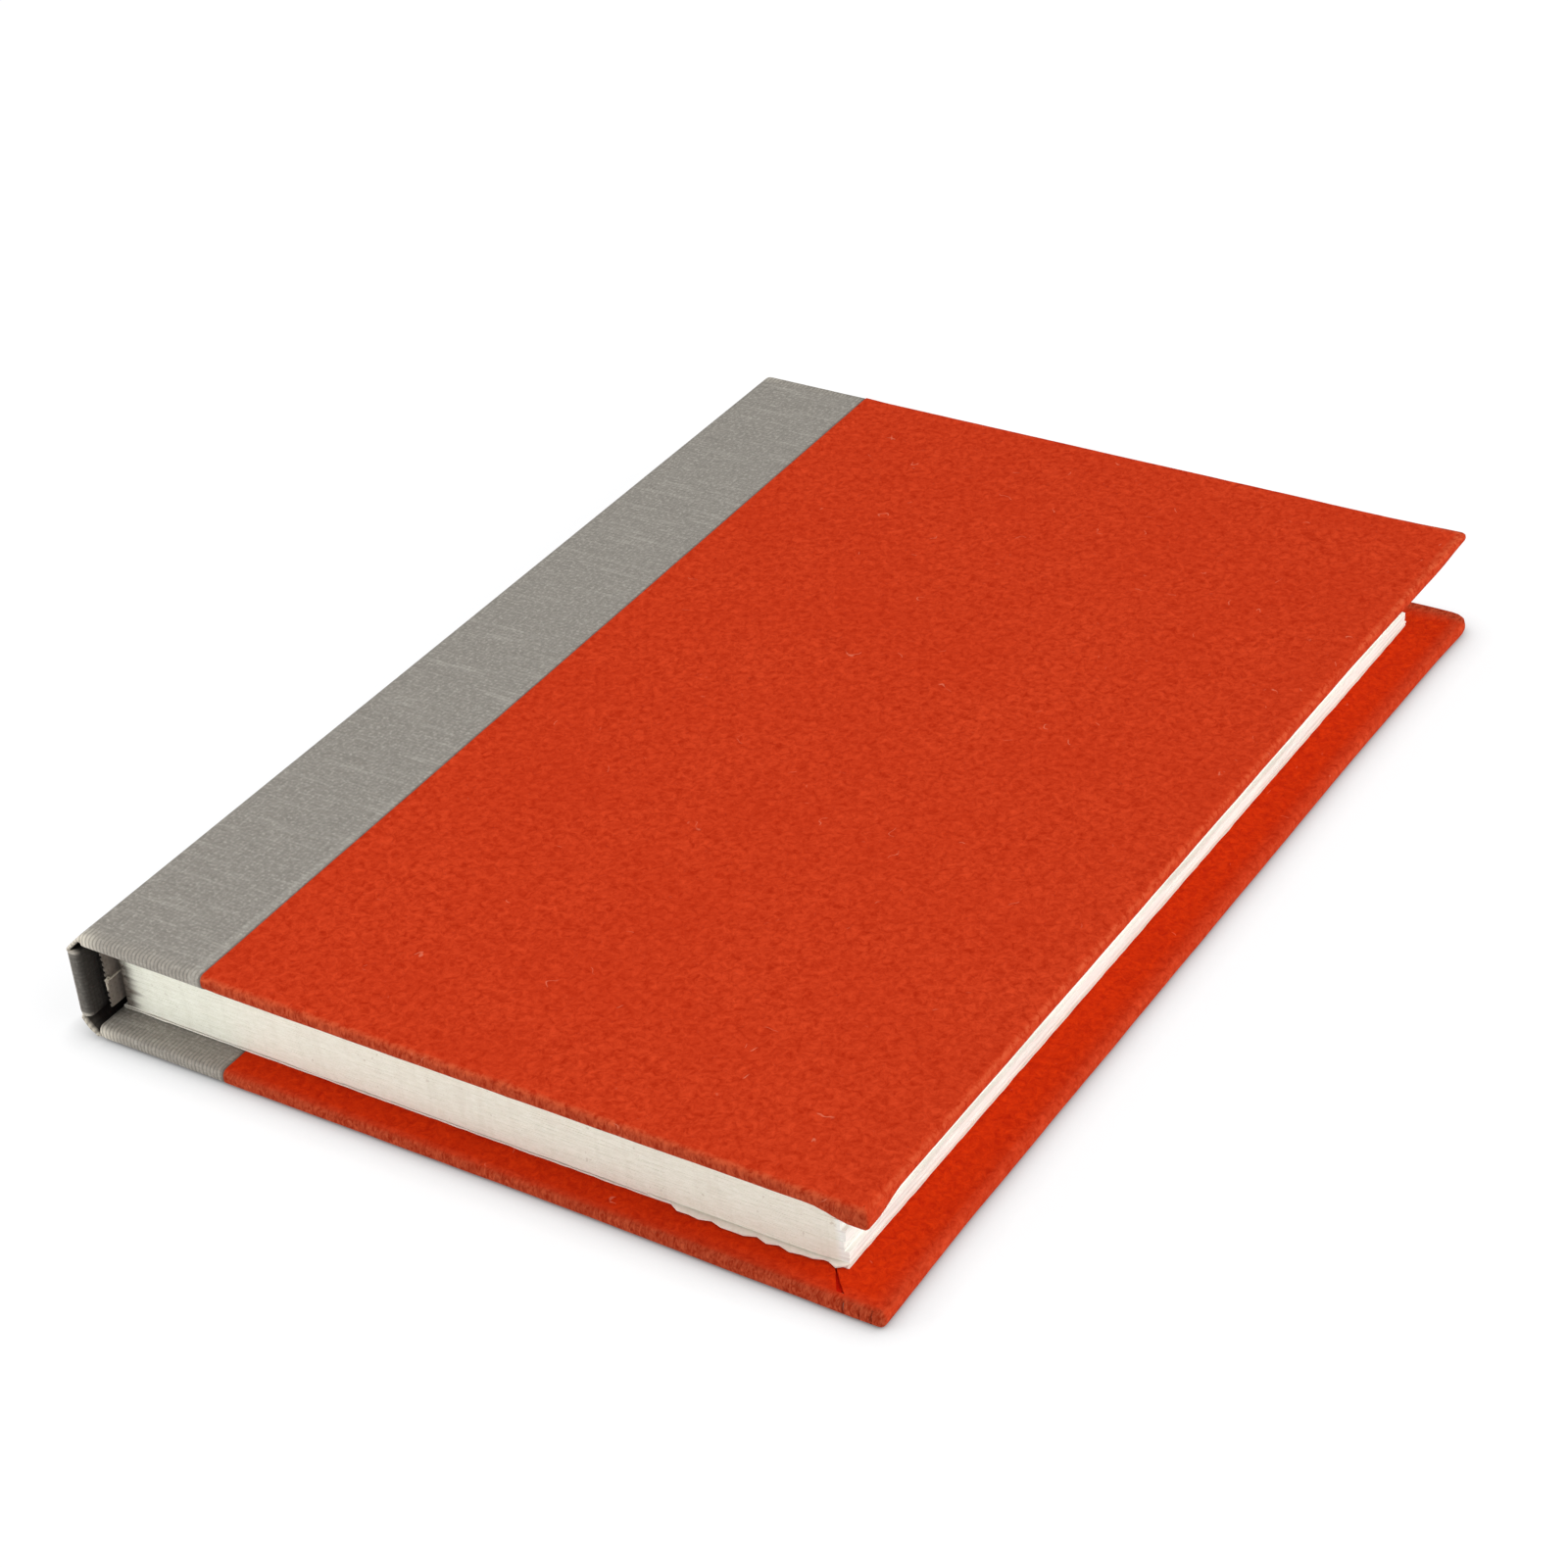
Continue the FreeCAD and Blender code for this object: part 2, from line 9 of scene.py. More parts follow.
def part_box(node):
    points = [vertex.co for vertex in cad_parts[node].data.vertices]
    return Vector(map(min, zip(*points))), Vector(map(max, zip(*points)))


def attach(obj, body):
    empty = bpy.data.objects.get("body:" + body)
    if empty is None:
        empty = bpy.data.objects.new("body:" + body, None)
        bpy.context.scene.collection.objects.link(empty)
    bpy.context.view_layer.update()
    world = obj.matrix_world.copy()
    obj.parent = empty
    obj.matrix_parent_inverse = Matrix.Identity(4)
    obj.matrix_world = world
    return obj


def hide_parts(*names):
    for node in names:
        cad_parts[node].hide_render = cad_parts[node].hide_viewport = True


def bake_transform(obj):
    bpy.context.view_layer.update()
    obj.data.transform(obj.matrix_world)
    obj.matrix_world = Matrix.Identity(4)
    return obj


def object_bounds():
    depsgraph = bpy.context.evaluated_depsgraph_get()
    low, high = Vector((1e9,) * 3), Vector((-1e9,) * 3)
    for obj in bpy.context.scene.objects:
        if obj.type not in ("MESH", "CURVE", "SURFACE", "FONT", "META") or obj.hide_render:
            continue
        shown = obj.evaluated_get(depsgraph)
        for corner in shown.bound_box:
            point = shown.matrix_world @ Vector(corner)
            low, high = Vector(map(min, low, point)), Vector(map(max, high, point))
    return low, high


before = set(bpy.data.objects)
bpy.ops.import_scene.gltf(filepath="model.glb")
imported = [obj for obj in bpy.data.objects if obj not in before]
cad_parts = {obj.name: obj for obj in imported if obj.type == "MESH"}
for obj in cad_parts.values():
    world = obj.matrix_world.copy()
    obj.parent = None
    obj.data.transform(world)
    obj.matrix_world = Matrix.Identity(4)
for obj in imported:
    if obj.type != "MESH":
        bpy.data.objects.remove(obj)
cad_low, cad_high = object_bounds()

MM = 0.001

# Sizes on the bench, in millimetres, which the drawing has too.
CLOTH = 0.25  # thickness of the book cloth
PAPER = 0.35  # thickness of the side paper
TURN_IN = 13.0  # width of the side paper's turn-ins
PAPER_ROUND = 0.85  # reach of the side paper's round over the board's edges
MITRE_START = 6.3  # from the fore edge to the start of the mitre cut, along the tail
THREAD_PITCH = 0.57  # from one thread of the book cloth to the next
SHEETS_IN_SECTION = 4

cloth_low, cloth_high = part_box("spine_cloth")
block_low, block_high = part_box("text_block")
TOUCH = 0.001 * MM  # two places nearer than this are taken to be the same
SNAP = 0.0001 * MM  # a careful cut takes only vertices this near to it as lying on it
SPINE_FACE = cloth_low.x
MID_HEIGHT = cad_high.z / 2


# ---------------------------------------------------------------- camera, lights and floor

camera_data = bpy.data.cameras.new("camera")
camera_data.lens = 83.27
camera_data.sensor_width = 36.0
camera = bpy.data.objects.new("camera", camera_data)
camera.location = (0.221398, -0.321122, 0.269640)
camera.rotation_euler = [math.radians(angle) for angle in (55.8883, 4.3518, 32.1166)]
bpy.context.collection.objects.link(camera)
bpy.context.scene.camera = camera
bpy.context.scene.view_settings.view_transform = "Standard"


def linear(code):
    """The linear colour of an sRGB hex code, as a node takes it."""
    channels = [int(code[at : at + 2], 16) / 255 for at in (1, 3, 5)]
    return [c / 12.92 if c <= 0.04045 else ((c + 0.055) / 1.055) ** 2.4 for c in channels] + [1.0]


def add(tree, kind, inputs=(), out=0, **settings):
    """Adds a node with its settings, and gives one of its outputs. Each input, by name or number, is
    linked if it is given an output of another node, and is set if it is given a value."""
    node = tree.nodes.new("ShaderNode" + kind)
    for name, setting in settings.items():
        setattr(node, name, setting)
    for name, given in dict(inputs).items():
        if isinstance(given, bpy.types.NodeSocket):
            tree.links.new(given, node.inputs[name])
        else:
            node.inputs[name].default_value = given
    return node.outputs[out] if len(node.outputs) else node


def new_tree(owner):
    """An empty node tree for a material or the world."""
    owner.use_nodes = True
    owner.node_tree.nodes.clear()
    return owner.node_tree


def seen_by_eye(tree):
    """1 for a ray that comes from the eye, straight or by way of something glossy or clear, and else 0."""
    rays = add(tree, "LightPath").node.outputs
    seen = add(tree, "Math", {0: rays["Is Camera Ray"], 1: rays["Is Glossy Ray"]}, operation="MAXIMUM")
    return add(tree, "Math", {0: seen, 1: rays["Is Transmission Ray"]}, operation="MAXIMUM")


def light_panel(name, place, size, power):
    """A square soft box that faces the book."""
    data = bpy.data.lights.new(name, "AREA")
    data.size = size
    data.energy = power
    panel = bpy.data.objects.new(name, data)
    panel.location = place
    panel.rotation_euler = (-Vector(place)).to_track_quat("-Z", "Y").to_euler()
    bpy.context.collection.objects.link(panel)


light_panel("soft_box_fore_edge", (1.0, 0.15, 0.72), 1.3, 15.1)
light_panel("soft_box_spine", (-0.55, 0.05, 0.75), 0.7, 2.1)
light_panel("soft_box_tail", (-0.40, -0.42, 0.12), 0.25, 1.7)

# A white tent all round: white to the camera, and plain soft light on the book.
world = bpy.data.worlds.new("white_tent")
bpy.context.scene.world = world
tent = new_tree(world)
strength = add(tent, "MapRange", {"Value": seen_by_eye(tent), "To Min": 0.36, "To Max": 1.0})
light = add(tent, "Background", {"Color": linear("#FFFFFF"), "Strength": strength})
add(tent, "OutputWorld", {"Surface": light})

# The floor is a white paper sweep. It bounces light as white paper does, and the eye gets a white
# that keeps a weak shadow, grey only where the covers come close to it.
bpy.ops.object.select_all(action="DESELECT")
bpy.ops.mesh.primitive_plane_add(size=6.0, location=(0, 0, 0))
floor = bpy.context.object
floor.name = "floor"
sweep = bpy.data.materials.new("white_paper_sweep")
tree = new_tree(sweep)
lit = add(tree, "BsdfDiffuse", {"Color": linear("#F0F1F3")})
open_to_light = add(tree, "AmbientOcclusion", {"Distance": 4.5 * MM}, out="AO", samples=16)
level = add(tree, "MapRange", {"Value": open_to_light, "To Min": -0.05, "To Max": 1.09})
white = add(tree, "Emission", {"Color": linear("#FFFFFF"), "Strength": level})
share = add(tree, "MapRange", {"Value": seen_by_eye(tree), "To Min": 0.0, "To Max": 0.74})
both = add(tree, "MixShader", {0: share, 1: lit, 2: white})
add(tree, "OutputMaterial", {"Surface": both})
floor.data.materials.append(sweep)


# ---------------------------------------------------------------- materials


def new_material(name):
    """A material with an empty tree."""
    material = bpy.data.materials.new(name)
    return material, new_tree(material)


def finish_material(tree, colour, height, depth, roughness, specular=0.3):
    """Dry, matte surface of fibres: its colour, and a relief of the given depth in metres."""
    relief = add(tree, "Bump", {"Strength": 1.0, "Distance": depth, "Height": height})
    surface = add(
        tree,
        "BsdfPrincipled",
        {
            "Base Color": colour,
            "Roughness": roughness,
            "Specular IOR Level": specular,
            "Normal": relief,
        },
    )
    add(tree, "OutputMaterial", {"Surface": surface})


def side_paper_material():
    """Vermilion handmade paper, dyed in the pulp and couched on felt. The eye gets a dry, flat red,
    mottled where the fibres lie thicker, paler on the folds where hands have rubbed them and a highlight is
    painted on their crests, and browner and darker on the narrow walls, partly as painted shade."""
    material, tree = new_material("felted_vermilion_paper")
    place = add(tree, "TexCoord", out="Object")
    # Fibre clumps under a millimetre across, and the slow clouds of an uneven pulp.
    clumps = add(
        tree,
        "TexNoise",
        {"Vector": place, "Scale": 1 / (1.0 * MM), "Detail": 4.0, "Roughness": 0.7, "Distortion": 0.6},
    )
    clouds = add(tree, "TexNoise", {"Vector": place, "Scale": 1 / (16 * MM), "Detail": 3.0})
    mottle = add(tree, "MapRange", {"Value": clumps, "From Min": 0.30, "From Max": 0.70})
    pulp = add(tree, "Mix", {0: mottle, 6: linear("#AD2507"), 7: linear("#DB4723")}, out=2, data_type="RGBA")
    cloud = add(tree, "MapRange", {"Value": clouds, "From Min": 0.3, "From Max": 0.7, "To Max": 0.35})
    fresh, wall, crest, tucked = [
        add(tree, "Attribute", out="Fac", attribute_name=name)
        for name in ("fresh", "wall", "crest", "tucked")
    ]
    # The turned-in side was never handled and keeps a fuller red, which is also painted a little lighter, as
    # painted light where the cover above shades it.
    full = add(tree, "Mix", {0: mottle, 6: linear("#B82204"), 7: linear("#DC3A0A")}, out=2, data_type="RGBA")
    # The narrow walls are browner and darker: napped fibres stand in streaks that run over the edge of the
    # board, and the darkening is partly painted shade on these upright faces.
    stretched = add(tree, "Mapping", {"Vector": place, "Scale": (1.0, 0.42, 0.42)})
    streaks = add(
        tree,
        "TexNoise",
        {"Vector": stretched, "Scale": 1 / (0.5 * MM), "Detail": 3.0, "Roughness": 0.6, "Distortion": 1.2},
    )
    streak = add(tree, "MapRange", {"Value": streaks, "From Min": 0.36, "From Max": 0.66})
    nap_and_shade = add(tree, "Mix", {0: streak, 6: linear("#86250E"), 7: linear("#BE5737")}, out=2, data_type="RGBA")
    wall_colour_share = add(tree, "Math", {0: wall, 1: 0.8}, operation="MULTIPLY")
    # The crest of each fold is paler: hands have rubbed it where the clumps stand up, and a highlight is
    # painted there too.
    broken = add(tree, "MapRange", {"Value": clumps, "From Min": 0.42, "From Max": 0.6})
    rubbed_and_lit = add(tree, "Math", {0: crest, 1: broken}, operation="MULTIPLY")
    rubbed_and_lit = add(tree, "Math", {0: rubbed_and_lit, 1: 0.8}, operation="MULTIPLY")
    # Single undyed fibres, as thin level lines of a slow noise, kept only here and there.
    slow = add(tree, "TexNoise", {"Vector": place, "Scale": 1 / (4.5 * MM), "Detail": 2.0})
    off_line = add(tree, "Math", {0: slow, 1: 0.5}, operation="SUBTRACT")
    off_line = add(tree, "Math", {0: off_line}, operation="ABSOLUTE")
    hair = add(
        tree,
        "MapRange",
        {"Value": off_line, "From Min": 0.0035, "From Max": 0.008, "To Min": 1.0, "To Max": 0.0},
    )
    patches = add(tree, "TexNoise", {"Vector": place, "Scale": 1 / (2.2 * MM), "Detail": 0.0})
    kept = add(tree, "MapRange", {"Value": patches, "From Min": 0.75, "From Max": 0.80})
    fibre = add(tree, "Math", {0: hair, 1: kept}, operation="MULTIPLY")
    fibre = add(tree, "Math", {0: fibre, 1: 0.45}, operation="MULTIPLY")
    # Each colour lies over those before it. Where the sheet is tucked under itself, it is painted a deeper,
    # darker red, as painted shade in the narrow gap.
    colour = pulp
    for share, tint in (
        (cloud, linear("#BF2F10")),
        (fresh, full),
        (wall_colour_share, nap_and_shade),
        (rubbed_and_lit, linear("#D05A36")),
        (tucked, linear("#BE1A06")),
        (fibre, linear("#E8886A")),
    ):
        colour = add(tree, "Mix", {0: share, 6: colour, 7: tint}, out=2, data_type="RGBA")
    height = add(tree, "Mix", {0: wall, 2: clumps, 3: streaks})
    finish_material(tree, colour, height, 0.14 * MM, 0.95, specular=0.04)
    return material


def book_cloth_material():
    """Grey linen book cloth, woven plain and sized on the back. The eye gets round threads that pass
    over and under, thick and thin, with pale flecks, and cream threads where the folds have rubbed."""
    material, tree = new_material("grey_linen_book_cloth")
    flat = add(tree, "TexCoord", out="UV")
    # Hand-spun threads wander a little.
    wander = add(tree, "TexNoise", {"Vector": flat, "Scale": 1 / (5 * MM), "Detail": 2.0}, out="Color")
    drift = add(tree, "VectorMath", {0: wander, 1: (0.5, 0.5, 0.5)}, operation="SUBTRACT")
    drift = add(tree, "VectorMath", {0: drift, "Scale": 0.5 * MM}, operation="SCALE")
    laid = add(tree, "VectorMath", {0: flat, 1: drift}, operation="ADD")
    turns = math.pi / (THREAD_PITCH * MM)
    across, along, _ = add(tree, "SeparateXYZ", {0: laid}).node.outputs
    warp = add(tree, "Math", {0: across, 1: turns}, operation="MULTIPLY")
    warp = add(tree, "Math", {0: add(tree, "Math", {0: warp}, operation="SINE")}, operation="ABSOLUTE")
    weft = add(tree, "Math", {0: along, 1: turns}, operation="MULTIPLY")
    weft = add(tree, "Math", {0: add(tree, "Math", {0: weft}, operation="SINE")}, operation="ABSOLUTE")
    over = add(tree, "TexChecker", {"Vector": laid, "Scale": 1 / (THREAD_PITCH * MM)}, out="Fac")
    weave = add(tree, "Mix", {0: over, 2: warp, 3: weft})
    # Thick and thin stretches of the threads that run across the spine, and of those along it.
    slub_place = add(tree, "Mapping", {"Vector": laid, "Scale": (0.10, 1.0, 1.0)})
    slubs = add(tree, "TexNoise", {"Vector": slub_place, "Scale": 1 / (1.1 * MM), "Detail": 3.0})
    end_place = add(tree, "Mapping", {"Vector": laid, "Scale": (1.0, 0.07, 1.0)})
    ends = add(tree, "TexNoise", {"Vector": end_place, "Scale": 1 / (0.7 * MM), "Detail": 1.0})
    flecks, felted = [
        add(tree, "TexNoise", {"Vector": laid, "Scale": 1 / size, "Detail": detail, "Roughness": 0.7})
        for size, detail in ((0.55 * MM, 3.0), (1.6 * MM, 4.0))
    ]
    tone = add(tree, "MapRange", {"Value": slubs, "From Min": 0.3, "From Max": 0.7})
    ground = add(tree, "Mix", {0: tone, 6: linear("#837E77"), 7: linear("#928D85")}, out=2, data_type="RGBA")
    end = add(tree, "MapRange", {"Value": ends, "From Min": 0.3, "From Max": 0.7, "To Max": 0.6})
    fuzz = add(tree, "MapRange", {"Value": felted, "From Min": 0.35, "From Max": 0.65, "To Max": 0.6})
    slub = add(tree, "MapRange", {"Value": slubs, "From Min": 0.57, "From Max": 0.70, "To Max": 0.42})
    pale = add(tree, "MapRange", {"Value": flecks, "From Min": 0.48, "From Max": 0.70, "To Max": 0.65})
    gap = add(
        tree, "MapRange", {"Value": weave, "From Min": 0.0, "From Max": 0.55, "To Min": 0.45, "To Max": 0.0}
    )
    fold, rub, clean, seam, pasted = [
        add(tree, "Attribute", out="Fac", attribute_name=name)
        for name in ("fold", "rub", "clean", "seam", "pasted")
    ]
    # Over the ends of the boards the threads along the spine stand as ribs, rubbed pale on top.
    top = add(tree, "MapRange", {"Value": warp, "From Min": 0.45, "From Max": 0.95})
    ribs = add(tree, "Math", {0: fold, 1: top}, operation="MULTIPLY")
    uneven = add(
        tree, "MapRange", {"Value": felted, "From Min": 0.3, "From Max": 0.7, "To Min": 0.1, "To Max": 0.7}
    )
    ribs = add(tree, "Math", {0: ribs, 1: uneven}, operation="MULTIPLY")
    valley = add(
        tree, "MapRange", {"Value": warp, "From Min": 0.0, "From Max": 0.5, "To Min": 0.55, "To Max": 0.0}
    )
    valley = add(tree, "Math", {0: fold, 1: valley}, operation="MULTIPLY")
    bare = add(tree, "MapRange", {"Value": top, "To Min": 0.45, "To Max": 1.0})
    cream = add(tree, "Math", {0: rub, 1: bare}, operation="MULTIPLY")
    # A clean strip beside the front seam, which a straightedge covered.
    bright = add(tree, "MapRange", {"Value": pale, "To Min": 0.35, "To Max": 1.0})
    clean = add(tree, "Math", {0: clean, 1: bright}, operation="MULTIPLY")
    # A dark line along the seam is a painted shadow of the side paper's cut edge, and the hollow at the
    # spine's ends is painted near black as painted shade.
    colour = ground
    for share, tint in (
        (end, "#89857E"),
        (fuzz, "#9A958D"),
        (slub, "#B2ADA4"),
        (pale, "#BDB8AE"),
        (gap, "#6D6963"),
        (ribs, "#A9A194"),
        (valley, "#6A6258"),
        (cream, "#E2DACA"),
        (clean, "#B9B5AC"),
        (seam, "#4E423C"),
        (pasted, "#1A1513"),
    ):
        colour = add(tree, "Mix", {0: share, 6: colour, 7: linear(tint)}, out=2, data_type="RGBA")
    height = add(tree, "Mix", {0: fold, 2: weave, 3: warp})
    thick = add(tree, "Math", {0: slubs, 1: 1.2}, operation="MULTIPLY")
    height = add(tree, "Math", {0: height, 1: thick}, operation="MULTIPLY")
    finish_material(tree, colour, height, 0.08 * MM, 0.9, specular=0.15)
    return material


def leaf_material():
    """Cream handmade rag paper, cut in the stack. The eye gets warm white leaves with a soft grain of
    fibres and a few specks, brown with paste at the folds."""
    material, tree = new_material("cream_rag_leaves")
    place = add(tree, "TexCoord", out="Object")
    grain_place = add(tree, "Mapping", {"Vector": place, "Scale": (0.22, 0.22, 1.0)})
    grain = add(
        tree, "TexNoise", {"Vector": grain_place, "Scale": 1 / (0.19 * MM), "Detail": 3.0, "Roughness": 0.65}
    )
    clouds = add(tree, "TexNoise", {"Vector": place, "Scale": 1 / (3.5 * MM), "Detail": 3.0})
    specks = add(tree, "TexNoise", {"Vector": place, "Scale": 1 / (0.7 * MM), "Detail": 1.0})
    tone = add(tree, "MapRange", {"Value": grain, "From Min": 0.3, "From Max": 0.7})
    ground = add(tree, "Mix", {0: tone, 6: linear("#EAEAD9"), 7: linear("#F6F6E9")}, out=2, data_type="RGBA")
    patch = add(tree, "MapRange", {"Value": clouds, "From Min": 0.5, "From Max": 0.75, "To Max": 0.35})
    speck = add(tree, "MapRange", {"Value": specks, "From Min": 0.73, "From Max": 0.78, "To Max": 0.5})
    # The knife left faint marks across the leaves.
    knife_place = add(tree, "Mapping", {"Vector": place, "Scale": (1.0, 1.0, 0.08)})
    knife = add(tree, "TexNoise", {"Vector": knife_place, "Scale": 1 / (0.8 * MM), "Detail": 3.0})
    mark = add(tree, "MapRange", {"Value": knife, "From Min": 0.5, "From Max": 0.68, "To Max": 0.2})
    # Near the folds the leaves turn grey-brown, in fingers between the sections: partly paste that has gone
    # in from the folds, and partly painted shade of the hollow at the spine.
    inward, _, up = add(tree, "SeparateXYZ", {0: place}).node.outputs
    finger_place = add(tree, "CombineXYZ", {"Z": up})
    fingers = add(tree, "TexNoise", {"Vector": finger_place, "Scale": 1 / (1.5 * MM), "Detail": 1.0})
    reach = add(
        tree,
        "MapRange",
        {"Value": fingers, "From Min": 0.3, "From Max": 0.7, "To Min": -0.9 * MM, "To Max": 1.3 * MM},
    )
    depth = add(tree, "Math", {0: inward, 1: reach}, operation="SUBTRACT")
    dry, wet = block_low.x + 3.2 * MM, block_low.x + 0.6 * MM
    paste = add(
        tree,
        "MapRange",
        {"Value": depth, "From Min": wet, "From Max": dry, "To Min": 1.0, "To Max": 0.0},
        interpolation_type="SMOOTHSTEP",
    )
    soaked_and_shaded = add(tree, "Mix", {0: tone, 6: linear("#5F564E"), 7: linear("#8B8176")}, out=2, data_type="RGBA")
    # The fore edge was cut last and is clean, and it is painted whiter as painted light on that face. Fine
    # darker lines there, painted shade between the leaves, tell one leaf from the next.
    handled, clean = block_high.x - 1.7 * MM, block_high.x - 0.9 * MM
    trimmed_and_lit = add(
        tree, "MapRange", {"Value": inward, "From Min": handled, "From Max": clean, "To Max": 0.9}
    )
    leaf_place = add(tree, "Mapping", {"Vector": place, "Scale": (0.02, 0.02, 1.0)})
    leaves = add(tree, "TexNoise", {"Vector": leaf_place, "Scale": 1 / (0.5 * MM), "Detail": 2.0})
    line = add(tree, "MapRange", {"Value": leaves, "From Min": 0.5, "From Max": 0.66, "To Max": 0.5})
    line = add(tree, "Math", {0: line, 1: trimmed_and_lit}, operation="MULTIPLY")
    colour = ground
    for share, tint in (
        (patch, linear("#E6E1D1")),
        (speck, linear("#C9C2B0")),
        (mark, linear("#DEDCCB")),
        (paste, soaked_and_shaded),
        (trimmed_and_lit, linear("#FAFFF8")),
        (line, linear("#D3D0C6")),
    ):
        colour = add(tree, "Mix", {0: share, 6: colour, 7: tint}, out=2, data_type="RGBA")
    finish_material(tree, colour, grain, 0.03 * MM, 0.9, specular=0.2)
    return material


def endpaper_material():
    """Cream handmade rag paper, one folded sheet glued to the cover. The eye gets a warm white sheet,
    softly clouded, with a felt grain and short fibres."""
    material, tree = new_material("cream_rag_endpaper")
    flat = add(tree, "TexCoord", out="UV")
    grain = add(tree, "TexNoise", {"Vector": flat, "Scale": 1 / (0.8 * MM), "Detail": 4.0, "Roughness": 0.65})
    clouds = add(tree, "TexNoise", {"Vector": flat, "Scale": 1 / (9 * MM), "Detail": 3.0})
    tone = add(tree, "MapRange", {"Value": grain, "From Min": 0.3, "From Max": 0.7})
    colour = add(tree, "Mix", {0: tone, 6: linear("#EDE9DB"), 7: linear("#F9F6EC")}, out=2, data_type="RGBA")
    patch = add(tree, "MapRange", {"Value": clouds, "From Min": 0.45, "From Max": 0.7, "To Max": 0.4})
    colour = add(tree, "Mix", {0: patch, 6: colour, 7: linear("#E5E1D1")}, out=2, data_type="RGBA")
    finish_material(tree, colour, grain, 0.05 * MM, 0.9, specular=0.2)
    return material


def greyboard_material():
    """Greyboard of pressed waste pulp. The eye gets a dull grey-brown with dark and pale specks."""
    material, tree = new_material("pressed_greyboard")
    place = add(tree, "TexCoord", out="Object")
    pulp = add(tree, "TexNoise", {"Vector": place, "Scale": 1 / (0.6 * MM), "Detail": 4.0, "Roughness": 0.7})
    tone = add(tree, "MapRange", {"Value": pulp, "From Min": 0.3, "From Max": 0.7})
    colour = add(tree, "Mix", {0: tone, 6: linear("#766E62"), 7: linear("#989083")}, out=2, data_type="RGBA")
    finish_material(tree, colour, pulp, 0.05 * MM, 0.9)
    return material


def thread_material():
    """Waxed linen thread. The eye gets a pale, faintly glossy cord with the turns of its twist."""
    material, tree = new_material("waxed_linen_thread")
    place = add(tree, "TexCoord", out="Object")
    slanted = add(tree, "Mapping", {"Vector": place, "Rotation": (0.0, 0.0, math.radians(35))})
    twist = add(
        tree,
        "TexWave",
        {"Vector": slanted, "Scale": 1 / (1.6 * MM), "Distortion": 0.5},
        out="Fac",
        bands_direction="Y",
    )
    colour = add(tree, "Mix", {0: twist, 6: linear("#CFC7B2"), 7: linear("#EFE9DA")}, out=2, data_type="RGBA")
    # Where painted, the thread takes a darker, greyer tone.
    stained = add(tree, "Attribute", out="Fac", attribute_name="stained")
    colour = add(tree, "Mix", {0: stained, 6: colour, 7: linear("#B5AB9D")}, out=2, data_type="RGBA")
    finish_material(tree, colour, twist, 0.04 * MM, 0.55)
    return material


def lining_material():
    """Open-weave lining cloth, stiff with paste. The eye gets a coarse, greyed net with dark pores, kept dark
    partly as painted shade of the hollow it lies in.
    """
    material, tree = new_material("pasted_lining_cloth")
    place = add(tree, "TexCoord", out="Object")
    turns = math.pi / (0.8 * MM)
    _, along, up = add(tree, "SeparateXYZ", {0: place}).node.outputs
    threads = []
    for place_on_net in (along, up):
        turned = add(tree, "Math", {0: place_on_net, 1: turns}, operation="MULTIPLY")
        turned = add(tree, "Math", {0: turned}, operation="SINE")
        threads.append(add(tree, "Math", {0: turned}, operation="ABSOLUTE"))
    net = add(tree, "Math", {0: threads[0], 1: threads[1]}, operation="MAXIMUM")
    stain = add(tree, "TexNoise", {"Vector": place, "Scale": 1 / (3 * MM), "Detail": 3.0})
    # Both tones are dark: greyed with paste, and partly painted shade of the hollow.
    colour = add(tree, "Mix", {0: stain, 6: linear("#756C63"), 7: linear("#978D83")}, out=2, data_type="RGBA")
    pore = add(
        tree, "MapRange", {"Value": net, "From Min": 0.2, "From Max": 0.6, "To Min": 0.3, "To Max": 0.0}
    )
    colour = add(tree, "Mix", {0: pore, 6: colour, 7: linear("#544C45")}, out=2, data_type="RGBA")
    finish_material(tree, colour, net, 0.05 * MM, 0.85)
    return material


side_paper = side_paper_material()
book_cloth = book_cloth_material()
rag_leaf = leaf_material()
endpaper_stock = endpaper_material()
greyboard = greyboard_material()
linen_thread = thread_material()
lining_cloth = lining_material()


def dress(obj, material):
    """Gives a piece its one material."""
    obj.data.materials.clear()
    obj.data.materials.append(material)


for node, material in (
    ("front_board", greyboard),
    ("back_board", greyboard),
    ("spine_board", greyboard),
    ("sewing_thread", linen_thread),
):
    dress(bpy.data.objects[node], material)


# ---------------------------------------------------------------- modelling helpers


def start_from(primitive, name, low, high):
    """Adds a primitive that fills the box between two corners, and opens it in edit mode."""
    low, high = Vector(low), Vector(high)
    bpy.ops.object.select_all(action="DESELECT")
    primitive(size=1, location=(low + high) / 2)
    obj = bpy.context.object
    obj.name = obj.data.name = name
    obj.scale = high - low
    bpy.ops.object.transform_apply(location=True, rotation=True, scale=True)
    bpy.ops.object.mode_set(mode="EDIT")
    return obj


def choose(kind, test):
    """Selects just those faces, edges or vertices of the mesh in edit mode that pass the test."""
    bpy.ops.mesh.select_mode(type=kind)
    bpy.ops.mesh.select_all(action="DESELECT")
    data = bpy.context.object.data
    mesh = bmesh.from_edit_mesh(data)
    mesh.normal_update()
    for part in {"VERT": mesh.verts, "EDGE": mesh.edges, "FACE": mesh.faces}[kind]:
        if test(part):
            part.select_set(True)
    mesh.select_flush_mode()
    bmesh.update_edit_mesh(data)


def middle(part):
    """The middle of an edge or a face."""
    return sum((corner.co for corner in part.verts), Vector()) / len(part.verts)


def runs_along(edge, axis):
    """Whether an edge lies along one axis."""
    return abs((edge.verts[0].co - edge.verts[1].co).normalized()[axis]) > 0.999


